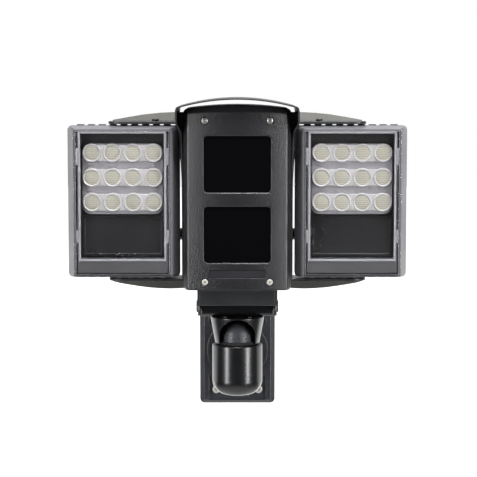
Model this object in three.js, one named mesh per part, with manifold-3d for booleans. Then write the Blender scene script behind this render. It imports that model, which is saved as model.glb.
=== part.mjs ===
// Twin-floodlight security camera head on a swivel wall bracket.
//
// Millimetres, +Z up, the lenses look along -Y and the wall is the plane Y = 0.
// The origin is the centre of the bracket's back face, where it meets the wall.
// The model is a tree of groups: the wall bracket holds the pan head, the pan head holds
// the camera head, and the camera head holds one floodlight on each side.

import * as THREE from 'three';
import { mergeVertices } from 'three/addons/utils/BufferGeometryUtils.js';
import Module from 'manifold-3d';

const wasm = await Module();
wasm.setup();

// ---------------------------------------------------------------- driving dimensions

const FIT = 0.3;                    // gap between pieces that touch or pass through each other

// wall bracket
const PLATE_WIDTH = 98.5;
const PLATE_HEIGHT = 144;
const PLATE_THICKNESS = 10;
const PLATE_BORDER = 5.5;           // width of the sloping border round the plate
const WALL_GASKET = 2;
const WALL_SCREW_X = 27.7;
const WALL_SCREW_Z = 52.8;
const ARM_RADIUS = 25;
const ELBOW_RADIUS = 30.6;
const ELBOW_TOP = 31.4;
const ELBOW_BOTTOM = -30.6;
const HUB_RADIUS = 20.5;
const HUB_TOP = 59.8;
const HUB_RING_RADIUS = 23.6;

// joint axes
const PAN_Y = -160;                 // the pan axis stands this far out from the wall
const TILT_Z = 77.7;                // height of the tilt axis
const LAMP_PIVOT_X = 98.3;          // the floodlights' vertical pivots, left and right
const LAMP_PIVOT_Y = -174;

// pan head
const CUP_TOP_RADIUS = 33;
const CUP_FOOT_RADIUS = 27;
const CUP_FOOT_Z = 33.3;
const CUP_TOP_Z = 66.3;
const CUP_WALL = 2.8;

// tilt channel
const CHANNEL_HALF_WIDTH = 48;
const CHANNEL_SHEET = 3.2;
const CHANNEL_FRONT_Y = -200;
const CHANNEL_REAR_Y = -122;
const CHANNEL_TOP_Z = 103.5;

// camera housing
const FACE_HALF_WIDTH = 59.6;
const FACE_Y = -222;
const FACE_BOTTOM = 104.6;
const FACE_SIDE_TOP = 310.2;
const FACE_CROWN = 316.4;
const FACE_SHOULDER = 4;            // radius of the face's upper corners
const SHELL_HALF_WIDTH = 63.6;
const SHELL_BOTTOM = 103.8;
const SHELL_SIDE_TOP = 314;
const SHELL_CROWN = 323.2;
const SHELL_SHOULDER = 5.2;         // radius of the shell's upper corners
const SHELL_FRONT_Y = -213.5;
const SHELL_REAR_Y = -104;
const SHELL_WALL = 3;
const REAR_COVER_THICKNESS = 6;
const WINDOW_HALF_WIDTH = 39.6;
const WINDOW_HEIGHT = 66.6;
const WINDOW_RADIUS = 4.7;
const WINDOW_Z = [253.7, 170.4];    // centres of the upper and lower window
const BEZEL_SCREW_X = 38.4;
const BEZEL_SCREW_Z = [305, 114.2];

// sunshield
const SHIELD_HALF_WIDTH = 72.9;
const SHIELD_CROWN = 331.4;
const SHIELD_SHEET = 1.8;
const SHIELD_FRONT_Y = -235;
const SHIELD_REAR_Y = -95;
const SHIELD_SCREW_X = 66.5;        // outer face of the skirt at the screw
const SHIELD_SCREW_Y = -204.5;
const SHIELD_SCREW_Z = 270;

// wing brackets
const WING_SHEET = 2.5;
const WING_INNER_X = 63.9;          // the wing's side plate lies on the housing from here
const WING_TIP_X = 154.5;
const WING_FRONT_Y = -193;
const WING_REAR_Y = -152;
const WING_TOP_Z = 303.2;           // upper face of the upper shelf
const WING_BOTTOM_Z = 112;          // lower face of the lower shelf
const WING_WEB_LEAN = 22;           // degrees that each web leans back

// floodlights
const LAMP_X = 136;
const LAMP_Z = 207.5;
const LAMP_HALF_WIDTH = 67.1;
const LAMP_HALF_HEIGHT = 91;
const LAMP_FACE_HALF_WIDTH = 57.8;
const LAMP_FACE_HALF_HEIGHT = 87.7;
const LAMP_FRONT_Y = -215;
const LAMP_SEAT_Y = -181;           // the clear cover meets the body here
const LAMP_BODY_REAR_Y = -168;
const LAMP_FIN_REAR_Y = -147;
const LENS_PITCH_X = 24.3;
const LENS_PITCH_Z = 29.3;
const LENS_ROWS = 3;
const LENS_COLUMNS = 4;
const LENS_RADIUS = 11.2;
const ARRAY_WIDTH = 96.6;
const ARRAY_HEIGHT = 83.6;
const ARRAY_Z = 27.9;               // the array's centre above the lamp's centre

// ---------------------------------------------------------------- materials

const FINISH = {
  castBlack: { color: 0x17181b, roughness: 0.22, metalness: 0.1 },
  sheetBlack: { color: 0x2e2f33, roughness: 0.55, metalness: 0.1 },
  sheetGrey: { color: 0x75736f, roughness: 0.5, metalness: 0.2 },
  mouldedBlack: { color: 0x3b3b40, roughness: 0.6, metalness: 0 },
  glossBlack: { color: 0x0c0b0e, roughness: 0.08, metalness: 0 },
  rubber: { color: 0x161616, roughness: 0.85, metalness: 0 },
  steel: { color: 0xb2b1b0, roughness: 0.25, metalness: 1 },
  darkSteel: { color: 0x3a3a3c, roughness: 0.4, metalness: 0.9 },
  heatSink: { color: 0x2a2b2e, roughness: 0.5, metalness: 0.5 },
  clearPlastic: { color: 0xdfe3ea, roughness: 0.1, metalness: 0 },
  milkyLens: { color: 0xd6d5d2, roughness: 0.25, metalness: 0 },
  circuit: { color: 0x1d4a32, roughness: 0.5, metalness: 0 },
  lampMask: { color: 0x2a2b30, roughness: 0.45, metalness: 0 },
};

// ---------------------------------------------------------------- shape helpers

const CURVE_STEPS = 4;              // straight steps in each rounded corner

/** A closed outline of Vector2 points: a rectangle with rounded corners. */
function roundedRectangle(halfWidth, halfHeight, radius, centreX = 0, centreY = 0) {
  const corners = [[1, -1, -90], [1, 1, 0], [-1, 1, 90], [-1, -1, 180]];
  return corners.flatMap(([sideX, sideY, startDegrees]) => {
    const x = centreX + sideX * (halfWidth - radius);
    const y = centreY + sideY * (halfHeight - radius);
    return arcPoints(x, y, radius, startDegrees, startDegrees + 90, CURVE_STEPS);
  });
}

/** Points along an arc, both ends included. */
function arcPoints(x, y, radius, startDegrees, endDegrees, steps) {
  const points = [];
  for (let i = 0; i <= steps; i += 1) {
    const angle = THREE.MathUtils.degToRad(startDegrees + (endDegrees - startDegrees) * i / steps);
    points.push(new THREE.Vector2(x + radius * Math.cos(angle), y + radius * Math.sin(angle)));
  }
  return points;
}

/** The same points on the other side of the upright middle line, in reverse order. */
function mirrored(points) {
  return points.map((point) => new THREE.Vector2(-point.x, point.y)).reverse();
}

/** Points along a flat arc from a point on the right over the crown to its mirror image. */
function crownPoints(end, crown, steps) {
  const rise = crown - end.y;
  const radius = (end.x * end.x + rise * rise) / (2 * rise);
  const half = THREE.MathUtils.radToDeg(Math.asin(end.x / radius));
  return arcPoints(0, crown - radius, radius, 90 - half, 90 + half, steps);
}

/** A closed outline: flat foot, straight sides, rounded shoulders and a crowned top. */
function archOutline(halfWidth, bottom, sideTop, crown, footRadius, shoulderRadius) {
  const SHOULDER_SWEEP = 78;
  const CROWN_STEPS = 12;
  const foot = arcPoints(
    halfWidth - footRadius, bottom + footRadius, footRadius, 270, 360, CURVE_STEPS,
  );
  const shoulder = arcPoints(
    halfWidth - shoulderRadius, sideTop, shoulderRadius, 0, SHOULDER_SWEEP, CURVE_STEPS,
  );
  const crownArc = crownPoints(shoulder.at(-1), crown, CROWN_STEPS).slice(1, -1);
  return [...foot, ...shoulder, ...crownArc, ...mirrored(shoulder), ...mirrored(foot)];
}

/** A closed body through sections that have the same number of points, stacked along +Z. */
function stack(sections) {
  const count = sections[0].outline.length;
  const positions = [];
  const triangles = [];
  sections.forEach(({ outline, at }) => {
    outline.forEach((point) => positions.push(point.x, point.y, at));
  });
  for (let level = 0; level < sections.length - 1; level += 1) {
    for (let i = 0; i < count; i += 1) {
      const a = level * count + i;
      const b = level * count + (i + 1) % count;
      triangles.push(a, b, b + count, a, b + count, a + count);
    }
  }
  const last = (sections.length - 1) * count;
  THREE.ShapeUtils.triangulateShape(sections[0].outline, []).forEach(([a, b, c]) => {
    triangles.push(a, c, b);
  });
  THREE.ShapeUtils.triangulateShape(sections.at(-1).outline, []).forEach(([a, b, c]) => {
    triangles.push(last + a, last + b, last + c);
  });
  const geometry = new THREE.BufferGeometry();
  geometry.setAttribute('position', new THREE.Float32BufferAttribute(positions, 3));
  geometry.setIndex(triangles);
  return geometry;
}

/** Extrudes an outline of Vector2 points along +Z from z0 to z1. */
function prism(outline, z0, z1) {
  return stack([{ outline, at: z0 }, { outline, at: z1 }]);
}

/** Turns a body drawn in the front view (x, z) and stacked towards the viewer to face -Y. */
function faceFront(geometry, backY = 0) {
  return geometry.rotateX(Math.PI / 2).translate(0, backY, 0);
}

/** A plate drawn in the front view between two depths. */
function frontPlate(outline, frontY, backY) {
  return faceFront(prism(outline, 0, backY - frontY), backY);
}

/** A plate drawn in the side view (y, z) between two X values. */
function sidePlate(outline, x0, x1) {
  const turn = new THREE.Matrix4().makeBasis(
    new THREE.Vector3(0, 1, 0),
    new THREE.Vector3(0, 0, 1),
    new THREE.Vector3(1, 0, 0),
  );
  return prism(outline, x0, x1).applyMatrix4(turn);
}

/** A box between two corners. */
function block(x0, x1, y0, y1, z0, z1) {
  return new THREE.BoxGeometry(x1 - x0, y1 - y0, z1 - z0)
    .translate((x0 + x1) / 2, (y0 + y1) / 2, (z0 + z1) / 2);
}

/** A cylinder whose axis runs along X, Y or Z, from one value on that axis to another. */
function rod(axis, radius, from, to, centre = [0, 0, 0], sides = 24) {
  const geometry = new THREE.CylinderGeometry(radius, radius, to - from, sides);
  const middle = (from + to) / 2;
  if (axis === 'x') {
    return geometry.rotateZ(Math.PI / 2).translate(middle, centre[1], centre[2]);
  }
  if (axis === 'y') {
    return geometry.translate(centre[0], middle, centre[2]);
  }
  return geometry.rotateX(Math.PI / 2).translate(centre[0], centre[1], middle);
}

/** A body turned about the vertical axis at (x, y), from [radius, z] pairs that end on the axis. */
function turned(profile, x, y, sides = 32) {
  const points = profile.map(([radius, z]) => new THREE.Vector2(radius, z));
  return new THREE.LatheGeometry(points, sides).rotateX(Math.PI / 2).translate(x, y, 0);
}

// ---------------------------------------------------------------- solid helpers

/** Makes a manifold solid from a closed geometry. */
function solid(geometry) {
  const bare = geometry.clone();
  bare.deleteAttribute('normal');
  bare.deleteAttribute('uv');
  const welded = mergeVertices(bare, 1e-4);
  return new wasm.Manifold(new wasm.Mesh({
    numProp: 3,
    vertProperties: new Float32Array(welded.getAttribute('position').array),
    triVerts: new Uint32Array(welded.getIndex().array),
  }));
}

function cut(body, ...tools) {
  return tools.reduce((rest, tool) => rest.subtract(solid(tool)), solid(body));
}

function join(...bodies) {
  return bodies.slice(1).reduce((whole, body) => whole.add(solid(body)), solid(bodies[0]));
}

/** Gives a solid back as a three.js geometry with flat faces. */
function toGeometry(body) {
  const mesh = body.getMesh();
  const geometry = new THREE.BufferGeometry();
  geometry.setAttribute('position', new THREE.BufferAttribute(mesh.vertProperties, 3));
  geometry.setIndex(new THREE.BufferAttribute(mesh.triVerts, 1));
  return geometry;
}

/** A named sub-part from a geometry or a solid. */
function piece(name, shape, finish) {
  const geometry = shape.isBufferGeometry ? shape : toGeometry(shape);
  const faceted = geometry.index ? geometry.toNonIndexed() : geometry;
  faceted.computeVertexNormals();
  const mesh = new THREE.Mesh(faceted, new THREE.MeshStandardMaterial(FINISH[finish]));
  mesh.name = name;
  return mesh;
}

/** The two sides of the object, as a name and a sign on X. */
const SIDES = [['left', -1], ['right', 1]];

// ---------------------------------------------------------------- fasteners

/** A cheese-head screw along +Y: its head stands in front of the origin, its shank behind. */
function screw(headRadius, headHeight, shankRadius, shankLength, driveRadius) {
  const DRIVE_DEPTH = headHeight * 0.5;
  const HEX = 6;
  const head = rod('y', headRadius, -headHeight, 0, [0, 0, 0], 14);
  const shank = rod('y', shankRadius, -headHeight / 2, shankLength, [0, 0, 0], 8);
  const drive = rod('y', driveRadius, -headHeight - 1, -headHeight + DRIVE_DEPTH, [0, 0, 0], HEX);
  return join(head, shank).subtract(solid(drive));
}

/** A hexagon-head bolt along +X: its head stands at negative X, its shank at positive X. */
function hexBolt(headRadius, headHeight, shankRadius, shankLength) {
  const WASHER = 1.2;
  const head = rod('x', headRadius, -headHeight, -WASHER + 0.2, [0, 0, 0], 6);
  const washer = rod('x', headRadius * 1.12, -WASHER, 0, [0, 0, 0], 14);
  const shank = rod('x', shankRadius, -WASHER / 2, shankLength, [0, 0, 0], 8);
  return join(head, washer, shank);
}

// ---------------------------------------------------------------- wall bracket

function buildWallBracket() {
  const group = new THREE.Group();
  const plateBack = -WALL_GASKET;
  const plateFront = plateBack - PLATE_THICKNESS;
  const CORNER = 6;
  const halfWidth = PLATE_WIDTH / 2;
  const halfHeight = PLATE_HEIGHT / 2;

  // rubber pad between the plate and the wall
  const screwHoles = SIDES.flatMap(([, side]) => [-1, 1].map((up) => rod(
    'y', 3.4, -PLATE_THICKNESS * 2, 5, [side * WALL_SCREW_X, 0, up * WALL_SCREW_Z], 14,
  )));
  const PAD_INSET = 1.5;
  const pad = frontPlate(
    roundedRectangle(halfWidth - PAD_INSET, halfHeight - PAD_INSET, CORNER), plateBack + FIT, 0,
  );
  group.add(piece('wall_gasket', cut(pad, ...screwHoles), 'rubber'));

  // cast plate with a sloping border, a round boss for the arm and a sunk panel by each screw pair
  const RIM = 3.5;
  const BOSS_RADIUS = 39.5;
  const BOSS_HEIGHT = 5;
  const POCKET_HALF_WIDTH = 36.9;
  const POCKET_DEPTH = 3.5;
  const POCKET_Z = [34.1, 66.8];
  const rim = roundedRectangle(halfWidth, halfHeight, CORNER);
  const face = roundedRectangle(halfWidth - PLATE_BORDER, halfHeight - PLATE_BORDER, 3);
  const body = faceFront(stack([
    { outline: rim, at: 0 },
    { outline: rim, at: RIM },
    { outline: face, at: PLATE_THICKNESS },
  ]), plateBack);
  const boss = rod('y', BOSS_RADIUS, plateFront - BOSS_HEIGHT, plateFront + 1, [0, 0, 0], 32);
  const pockets = [-1, 1].map((up) => block(
    -POCKET_HALF_WIDTH, POCKET_HALF_WIDTH, plateFront - 1, plateFront + POCKET_DEPTH,
    Math.min(up * POCKET_Z[0], up * POCKET_Z[1]), Math.max(up * POCKET_Z[0], up * POCKET_Z[1]),
  ));
  const armSocket = rod('y', ARM_RADIUS + FIT, plateFront - 20, plateFront + 4, [0, 0, 0], 32);
  const plate = cut(body, ...pockets).add(solid(boss)).subtract(solid(armSocket));
  const drilled = screwHoles.reduce((rest, hole) => rest.subtract(solid(hole)), plate);
  group.add(piece('wall_plate', drilled, 'castBlack'));

  // wall screws with round heads, standing on the sunk panels
  const screwSeat = plateFront + POCKET_DEPTH;
  SIDES.forEach(([name, side]) => {
    [['upper', 1], ['lower', -1]].forEach(([level, up]) => {
      const mesh = piece(`wall_screw_${level}_${name}`, screw(5.4, 3.6, 2.6, 7.6, 2.2), 'steel');
      mesh.position.set(side * WALL_SCREW_X, screwSeat - FIT, up * WALL_SCREW_Z);
      group.add(mesh);
    });
  });

  // arm: a round bar out from the wall that ends in an upright barrel with a rounded foot
  const FOOT_RADIUS = 18;
  const FOOT_STEPS = 5;
  const foot = arcPoints(
    ELBOW_RADIUS - FOOT_RADIUS, ELBOW_BOTTOM + FOOT_RADIUS, FOOT_RADIUS, -90, 0, FOOT_STEPS,
  );
  const barrel = turned([
    [0, ELBOW_BOTTOM],
    ...foot.map((point) => [point.x, point.y]),
    [ELBOW_RADIUS, ELBOW_TOP - 1.2],
    [ELBOW_RADIUS - 1.2, ELBOW_TOP],
    [0, ELBOW_TOP],
  ], 0, PAN_Y);
  const bar = rod('y', ARM_RADIUS, PAN_Y, plateFront + 3.7, [0, 0, 0], 32);
  group.add(piece('bracket_arm', join(barrel, bar), 'castBlack'));

  // collar that covers the joint of arm and plate
  const collarFront = plateFront - BOSS_HEIGHT - 6;
  const collar = rod('y', ARM_RADIUS + 5, collarFront, plateFront - BOSS_HEIGHT - FIT, [0, 0, 0], 36);
  const collarHole = rod('y', ARM_RADIUS + FIT, collarFront - 1, plateFront, [0, 0, 0], 32);
  group.add(piece('arm_collar', cut(collar, collarHole), 'rubber'));

  // domed hub that the pan head turns on, and the toothed ring round its foot
  const hubFoot = ELBOW_TOP + FIT;
  const domeCentre = HUB_TOP - HUB_RADIUS;
  const dome = arcPoints(0, domeCentre, HUB_RADIUS, 0, 90, 6).slice(0, -1);
  group.add(piece('pan_hub', turned([
    [0, hubFoot],
    [HUB_RADIUS, hubFoot],
    ...dome.map((point) => [point.x, point.y]),
    [0, HUB_TOP],
  ], 0, PAN_Y), 'mouldedBlack'));

  const TEETH = 24;
  const TOOTH = 1.1;
  const teeth = [];
  for (let i = 0; i < TEETH * 2; i += 1) {
    const radius = HUB_RING_RADIUS - (i % 2) * TOOTH;
    const angle = Math.PI * i / TEETH;
    teeth.push(new THREE.Vector2(radius * Math.cos(angle), radius * Math.sin(angle)));
  }
  const ring = prism(teeth, hubFoot, hubFoot + 3.6).translate(0, PAN_Y, 0);
  const ringHole = rod('z', HUB_RADIUS + FIT, hubFoot - 1, hubFoot + 6, [0, PAN_Y, 0], 36);
  group.add(piece('hub_ring', cut(ring, ringHole), 'rubber'));
  return group;
}

// ---------------------------------------------------------------- pan head

const TILT_BLOCK_HALF_WIDTH = 43.4;
const TILT_BOLT_RADIUS = 4;
const CUP_BOLT_X = 14.9;
const CUP_BOLT_Y = PAN_Y - 25.5;

function buildPanHead() {
  const group = new THREE.Group();

  // tapered cup over the hub, with an arched opening at the front
  const ARCH_HALF_WIDTH = 21.6;
  const ARCH_SPRING = 43.3;
  const innerTop = CUP_TOP_Z - CUP_WALL;
  const outside = turned([
    [0, CUP_FOOT_Z],
    [CUP_FOOT_RADIUS, CUP_FOOT_Z],
    [CUP_TOP_RADIUS, CUP_TOP_Z - 1],
    [CUP_TOP_RADIUS - 0.8, CUP_TOP_Z],
    [0, CUP_TOP_Z],
  ], 0, PAN_Y, 36);
  const inside = turned([
    [0, CUP_FOOT_Z - 1],
    [CUP_FOOT_RADIUS - CUP_WALL, CUP_FOOT_Z - 1],
    [CUP_TOP_RADIUS - CUP_WALL, innerTop],
    [0, innerTop],
  ], 0, PAN_Y, 36);
  const archOutlinePoints = [
    new THREE.Vector2(-ARCH_HALF_WIDTH, CUP_FOOT_Z - 2),
    new THREE.Vector2(ARCH_HALF_WIDTH, CUP_FOOT_Z - 2),
    ...arcPoints(0, ARCH_SPRING, ARCH_HALF_WIDTH, 0, 180, 16),
  ];
  const arch = frontPlate(archOutlinePoints, PAN_Y - 50, PAN_Y);
  const boltHoles = SIDES.map(([, side]) => rod(
    'z', 2.3, innerTop - 5, CUP_TOP_Z + 5, [side * CUP_BOLT_X, CUP_BOLT_Y, 0], 12,
  ));
  group.add(piece('clamp_cup', cut(outside, inside, arch, ...boltHoles), 'castBlack'));

  // cross bar on the cup that the tilt channel swings on
  const BLOCK_HALF_DEPTH = 14;
  const BLOCK_TOP = TILT_Z + 12.5;
  const half = TILT_BLOCK_HALF_WIDTH;
  const section = roundedRectangle(
    BLOCK_HALF_DEPTH, (BLOCK_TOP - CUP_TOP_Z - FIT) / 2, 5, PAN_Y, (BLOCK_TOP + CUP_TOP_Z + FIT) / 2,
  );
  const bar = sidePlate(section, -half, half);
  const bore = rod('x', TILT_BOLT_RADIUS + FIT, half - 16, half + 1, [0, PAN_Y, TILT_Z], 20);
  const boreLeft = rod('x', TILT_BOLT_RADIUS + FIT, -half - 1, -half + 16, [0, PAN_Y, TILT_Z], 20);
  group.add(piece('tilt_block', cut(bar, bore, boreLeft), 'castBlack'));

  SIDES.forEach(([name, side]) => {
    // plain washers between the cross bar and the channel's cheeks
    const inner = half + FIT;
    const outer = CHANNEL_HALF_WIDTH - CHANNEL_SHEET - FIT;
    const WASHER_RADIUS = 9;
    const washer = rod(
      'x', WASHER_RADIUS, Math.min(side * inner, side * outer), Math.max(side * inner, side * outer),
      [0, PAN_Y, TILT_Z], 24,
    );
    const eye = rod('x', TILT_BOLT_RADIUS + FIT, -60, 60, [0, PAN_Y, TILT_Z], 20);
    group.add(piece(`tilt_washer_${name}`, cut(washer, eye), 'steel'));

    // tilt bolt through the cheek into the cross bar, with a low domed head
    const HEAD_RADIUS = 7.5;
    const HEAD_HEIGHT = 1.6;
    const shankEnd = half - 15;
    const headSeat = CHANNEL_HALF_WIDTH + FIT;
    const profile = [
      [0, shankEnd],
      [TILT_BOLT_RADIUS, shankEnd],
      [TILT_BOLT_RADIUS, headSeat],
      [HEAD_RADIUS, headSeat],
      [HEAD_RADIUS - 1.5, headSeat + HEAD_HEIGHT],
      [0, headSeat + HEAD_HEIGHT],
    ].map(([radius, along]) => new THREE.Vector2(radius, along));
    const bolt = new THREE.LatheGeometry(profile, 20)
      .rotateZ(-side * Math.PI / 2)
      .translate(0, PAN_Y, TILT_Z);
    group.add(piece(`tilt_bolt_${name}`, bolt, 'darkSteel'));

    // socket screw that clamps the cup
    const clampScrew = piece(`cup_bolt_${name}`, screw(2.6, 1.8, 2, 8, 1.2), 'steel');
    clampScrew.rotation.x = -Math.PI / 2;
    clampScrew.position.set(side * CUP_BOLT_X, CUP_BOLT_Y, CUP_TOP_Z + FIT);
    group.add(clampScrew);
  });
  return group;
}

// ---------------------------------------------------------------- tilt channel

function buildTiltChannel() {
  const underside = CHANNEL_TOP_Z - CHANNEL_SHEET;
  const LUG_RADIUS = 12;
  const FRONT_PLATE_BOTTOM = 83.1;
  const FRONT_INSET = 0.8;
  const half = CHANNEL_HALF_WIDTH;
  const cheekOutline = [
    new THREE.Vector2(CHANNEL_FRONT_Y, CHANNEL_TOP_Z),
    new THREE.Vector2(CHANNEL_FRONT_Y, FRONT_PLATE_BOTTOM),
    ...arcPoints(PAN_Y, TILT_Z, LUG_RADIUS, 205, 335, 10),
    new THREE.Vector2(CHANNEL_REAR_Y, underside - 4),
    new THREE.Vector2(CHANNEL_REAR_Y, CHANNEL_TOP_Z),
  ];
  const top = block(-half, half, CHANNEL_FRONT_Y, CHANNEL_REAR_Y, underside, CHANNEL_TOP_Z);
  const front = block(-half + 1, half - 1, CHANNEL_FRONT_Y + FRONT_INSET,
    CHANNEL_FRONT_Y + FRONT_INSET + CHANNEL_SHEET, FRONT_PLATE_BOTTOM, CHANNEL_TOP_Z - 1);
  const cheeks = SIDES.map(([, side]) => {
    const inner = side * (half - CHANNEL_SHEET);
    return sidePlate(cheekOutline, Math.min(inner, side * half), Math.max(inner, side * half));
  });
  const bore = rod('x', TILT_BOLT_RADIUS + FIT, -60, 60, [0, PAN_Y, TILT_Z], 20);
  return piece('tilt_channel', join(top, front, ...cheeks).subtract(solid(bore)), 'sheetBlack');
}

// ---------------------------------------------------------------- camera housing

/** The housing's outline in the front view, shrunk by an inset. */
function shellOutline(inset) {
  return archOutline(
    SHELL_HALF_WIDTH - inset, SHELL_BOTTOM + inset, SHELL_SIDE_TOP - inset, SHELL_CROWN - inset,
    Math.max(5 - inset, 1), SHELL_SHOULDER,
  );
}

/** The front face's outline, shrunk by an inset. */
function faceOutline(inset) {
  return archOutline(
    FACE_HALF_WIDTH - inset, FACE_BOTTOM + inset, FACE_SIDE_TOP - inset, FACE_CROWN - inset,
    Math.max(4 - inset, 1), FACE_SHOULDER,
  );
}

const GASKET_THICKNESS = 1.5;
const BEZEL_BACK_Y = SHELL_FRONT_Y - GASKET_THICKNESS - FIT;
const GLASS_FRONT_Y = FACE_Y + 2.2;
const GLASS_THICKNESS = 3;
const GLASS_LAP = 3;                // the pocket behind each window is wider than the opening
const BEZEL_SCREW_RADIUS = 1.7;
const COUNTERBORE_DEPTH = 2.4;

function buildHousing() {
  const group = new THREE.Group();
  const cavityInset = SHELL_WALL;

  // shell: a crowned sleeve, open at both ends, with an inner lip at the front for the bezel screws
  const sleeve = frontPlate(shellOutline(0), SHELL_FRONT_Y, SHELL_REAR_Y);
  const cavity = frontPlate(shellOutline(cavityInset), SHELL_FRONT_Y - 1, SHELL_REAR_Y + 1);
  const screwPosts = BEZEL_SCREW_Z.flatMap((z) => SIDES.map(([, side]) => rod(
    'y', 4.2, SHELL_FRONT_Y, SHELL_FRONT_Y + 16, [side * BEZEL_SCREW_X, 0, z], 10,
  )));
  const postBridges = BEZEL_SCREW_Z.flatMap((z, i) => SIDES.map(([, side]) => block(
    side * BEZEL_SCREW_X - 2.5, side * BEZEL_SCREW_X + 2.5, SHELL_FRONT_Y, SHELL_FRONT_Y + 16,
    i === 0 ? z : SHELL_BOTTOM + 1, i === 0 ? SHELL_SIDE_TOP + 6 : z,
  )));
  const screwBores = BEZEL_SCREW_Z.flatMap((z) => SIDES.map(([, side]) => rod(
    'y', BEZEL_SCREW_RADIUS + FIT, SHELL_FRONT_Y - 20, SHELL_FRONT_Y + 14,
    [side * BEZEL_SCREW_X, 0, z], 8,
  )));
  let shell = cut(sleeve, cavity);
  [...screwPosts, ...postBridges].forEach((body) => { shell = shell.add(solid(body)); });
  [...screwBores, shieldScrewBore()].forEach((bore) => { shell = shell.subtract(solid(bore)); });
  group.add(piece('housing_shell', shell, 'castBlack'));

  // rear cover, a shallow cap with a plug that enters the sleeve
  const rearFace = SHELL_REAR_Y + FIT;
  const cap = faceFront(stack([
    { outline: shellOutline(3), at: 0 },
    { outline: shellOutline(0), at: 3 },
    { outline: shellOutline(0), at: REAR_COVER_THICKNESS },
  ]), rearFace + REAR_COVER_THICKNESS);
  const PLUG_DEPTH = 4;
  const plug = frontPlate(shellOutline(cavityInset + FIT), rearFace - PLUG_DEPTH, rearFace + 1);
  const GLAND_Z = 124;
  const GLAND_BORE = 8;
  const glandHole = rod('y', GLAND_BORE + FIT, rearFace - 10, rearFace + 20, [0, 0, GLAND_Z], 20);
  group.add(piece('rear_cover', join(cap, plug).subtract(solid(glandHole)), 'castBlack'));

  // cable gland in the rear cover
  const glandSeat = rearFace + REAR_COVER_THICKNESS + FIT;
  const stem = rod('y', GLAND_BORE, rearFace - 5, glandSeat + 1, [0, 0, GLAND_Z], 20);
  const hexagon = rod('y', 12.5, glandSeat, glandSeat + 6, [0, 0, GLAND_Z], 6);
  const dome = rod('y', 10.5, glandSeat + 5, glandSeat + 15, [0, 0, GLAND_Z], 20);
  const mouth = rod('y', 4, rearFace - 20, glandSeat + 30, [0, 0, GLAND_Z], 12);
  group.add(piece('housing_gland', join(stem, hexagon, dome).subtract(solid(mouth)), 'rubber'));

  // gasket between the shell and the bezel
  const seal = frontPlate(shellOutline(0.8), SHELL_FRONT_Y - GASKET_THICKNESS, SHELL_FRONT_Y - FIT / 2);
  const sealHole = frontPlate(shellOutline(12), SHELL_FRONT_Y - 20, SHELL_FRONT_Y + 20);
  group.add(piece('bezel_gasket', cut(seal, sealHole, ...screwBores), 'rubber'));

  // front bezel with bevelled edges, two window apertures, screw counterbores and a label recess
  const BEVEL_WIDTH = 1.4;
  const BEVEL_DEPTH = 0.65;
  const BEVEL_START_Y = FACE_Y + BEVEL_DEPTH;
  const bezelBody = faceFront(stack([
    { outline: shellOutline(0.2), at: 0 },
    { outline: shellOutline(0.4), at: BEZEL_BACK_Y - BEVEL_START_Y - 4.4 },
    { outline: faceOutline(0), at: BEZEL_BACK_Y - BEVEL_START_Y },
    { outline: faceOutline(BEVEL_WIDTH), at: BEZEL_BACK_Y - FACE_Y },
  ]), BEZEL_BACK_Y);
  const windowCuts = WINDOW_Z.flatMap((z) => {
    const opening = roundedRectangle(WINDOW_HALF_WIDTH, WINDOW_HEIGHT / 2, WINDOW_RADIUS, 0, z);
    const flare = roundedRectangle(
      WINDOW_HALF_WIDTH + BEVEL_WIDTH, WINDOW_HEIGHT / 2 + BEVEL_WIDTH,
      WINDOW_RADIUS + BEVEL_WIDTH, 0, z,
    );
    const pocket = roundedRectangle(
      WINDOW_HALF_WIDTH + GLASS_LAP, WINDOW_HEIGHT / 2 + GLASS_LAP, WINDOW_RADIUS + GLASS_LAP, 0, z,
    );
    return [
      frontPlate(opening, FACE_Y - 5, BEZEL_BACK_Y + 5),
      faceFront(stack([
        { outline: opening, at: 0 },
        { outline: flare, at: BEVEL_DEPTH },
        { outline: flare, at: BEVEL_DEPTH + 2 },
      ]), BEVEL_START_Y),
      frontPlate(pocket, GLASS_FRONT_Y, BEZEL_BACK_Y + 5),
    ];
  });
  const COUNTERBORE = 4.6;
  const counterbores = BEZEL_SCREW_Z.flatMap((z) => SIDES.map(([, side]) => rod(
    'y', COUNTERBORE, FACE_Y - 5, FACE_Y + COUNTERBORE_DEPTH, [side * BEZEL_SCREW_X, 0, z], 14,
  )));
  const clearances = BEZEL_SCREW_Z.flatMap((z) => SIDES.map(([, side]) => rod(
    'y', BEZEL_SCREW_RADIUS + 0.5, FACE_Y - 5, BEZEL_BACK_Y + 5, [side * BEZEL_SCREW_X, 0, z], 8,
  )));
  const LABEL_HALF_WIDTH = 33;
  const LABEL_HALF_HEIGHT = 5;
  const LABEL_Z = 123.9;
  const LABEL_DEPTH = 1.6;
  const labelRecess = frontPlate(
    roundedRectangle(LABEL_HALF_WIDTH, LABEL_HALF_HEIGHT, 1.2, 0, LABEL_Z),
    FACE_Y - 5, FACE_Y + LABEL_DEPTH,
  );
  const bezel = cut(bezelBody, ...windowCuts, ...counterbores, ...clearances, labelRecess);
  group.add(piece('front_bezel', bezel, 'mouldedBlack'));

  // blank label plate
  const label = roundedRectangle(LABEL_HALF_WIDTH - FIT, LABEL_HALF_HEIGHT - FIT, 1, 0, LABEL_Z);
  const labelPlate = frontPlate(label, FACE_Y + 0.7, FACE_Y + LABEL_DEPTH - FIT / 2);
  group.add(piece('label_plate', labelPlate, 'glossBlack'));

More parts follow.
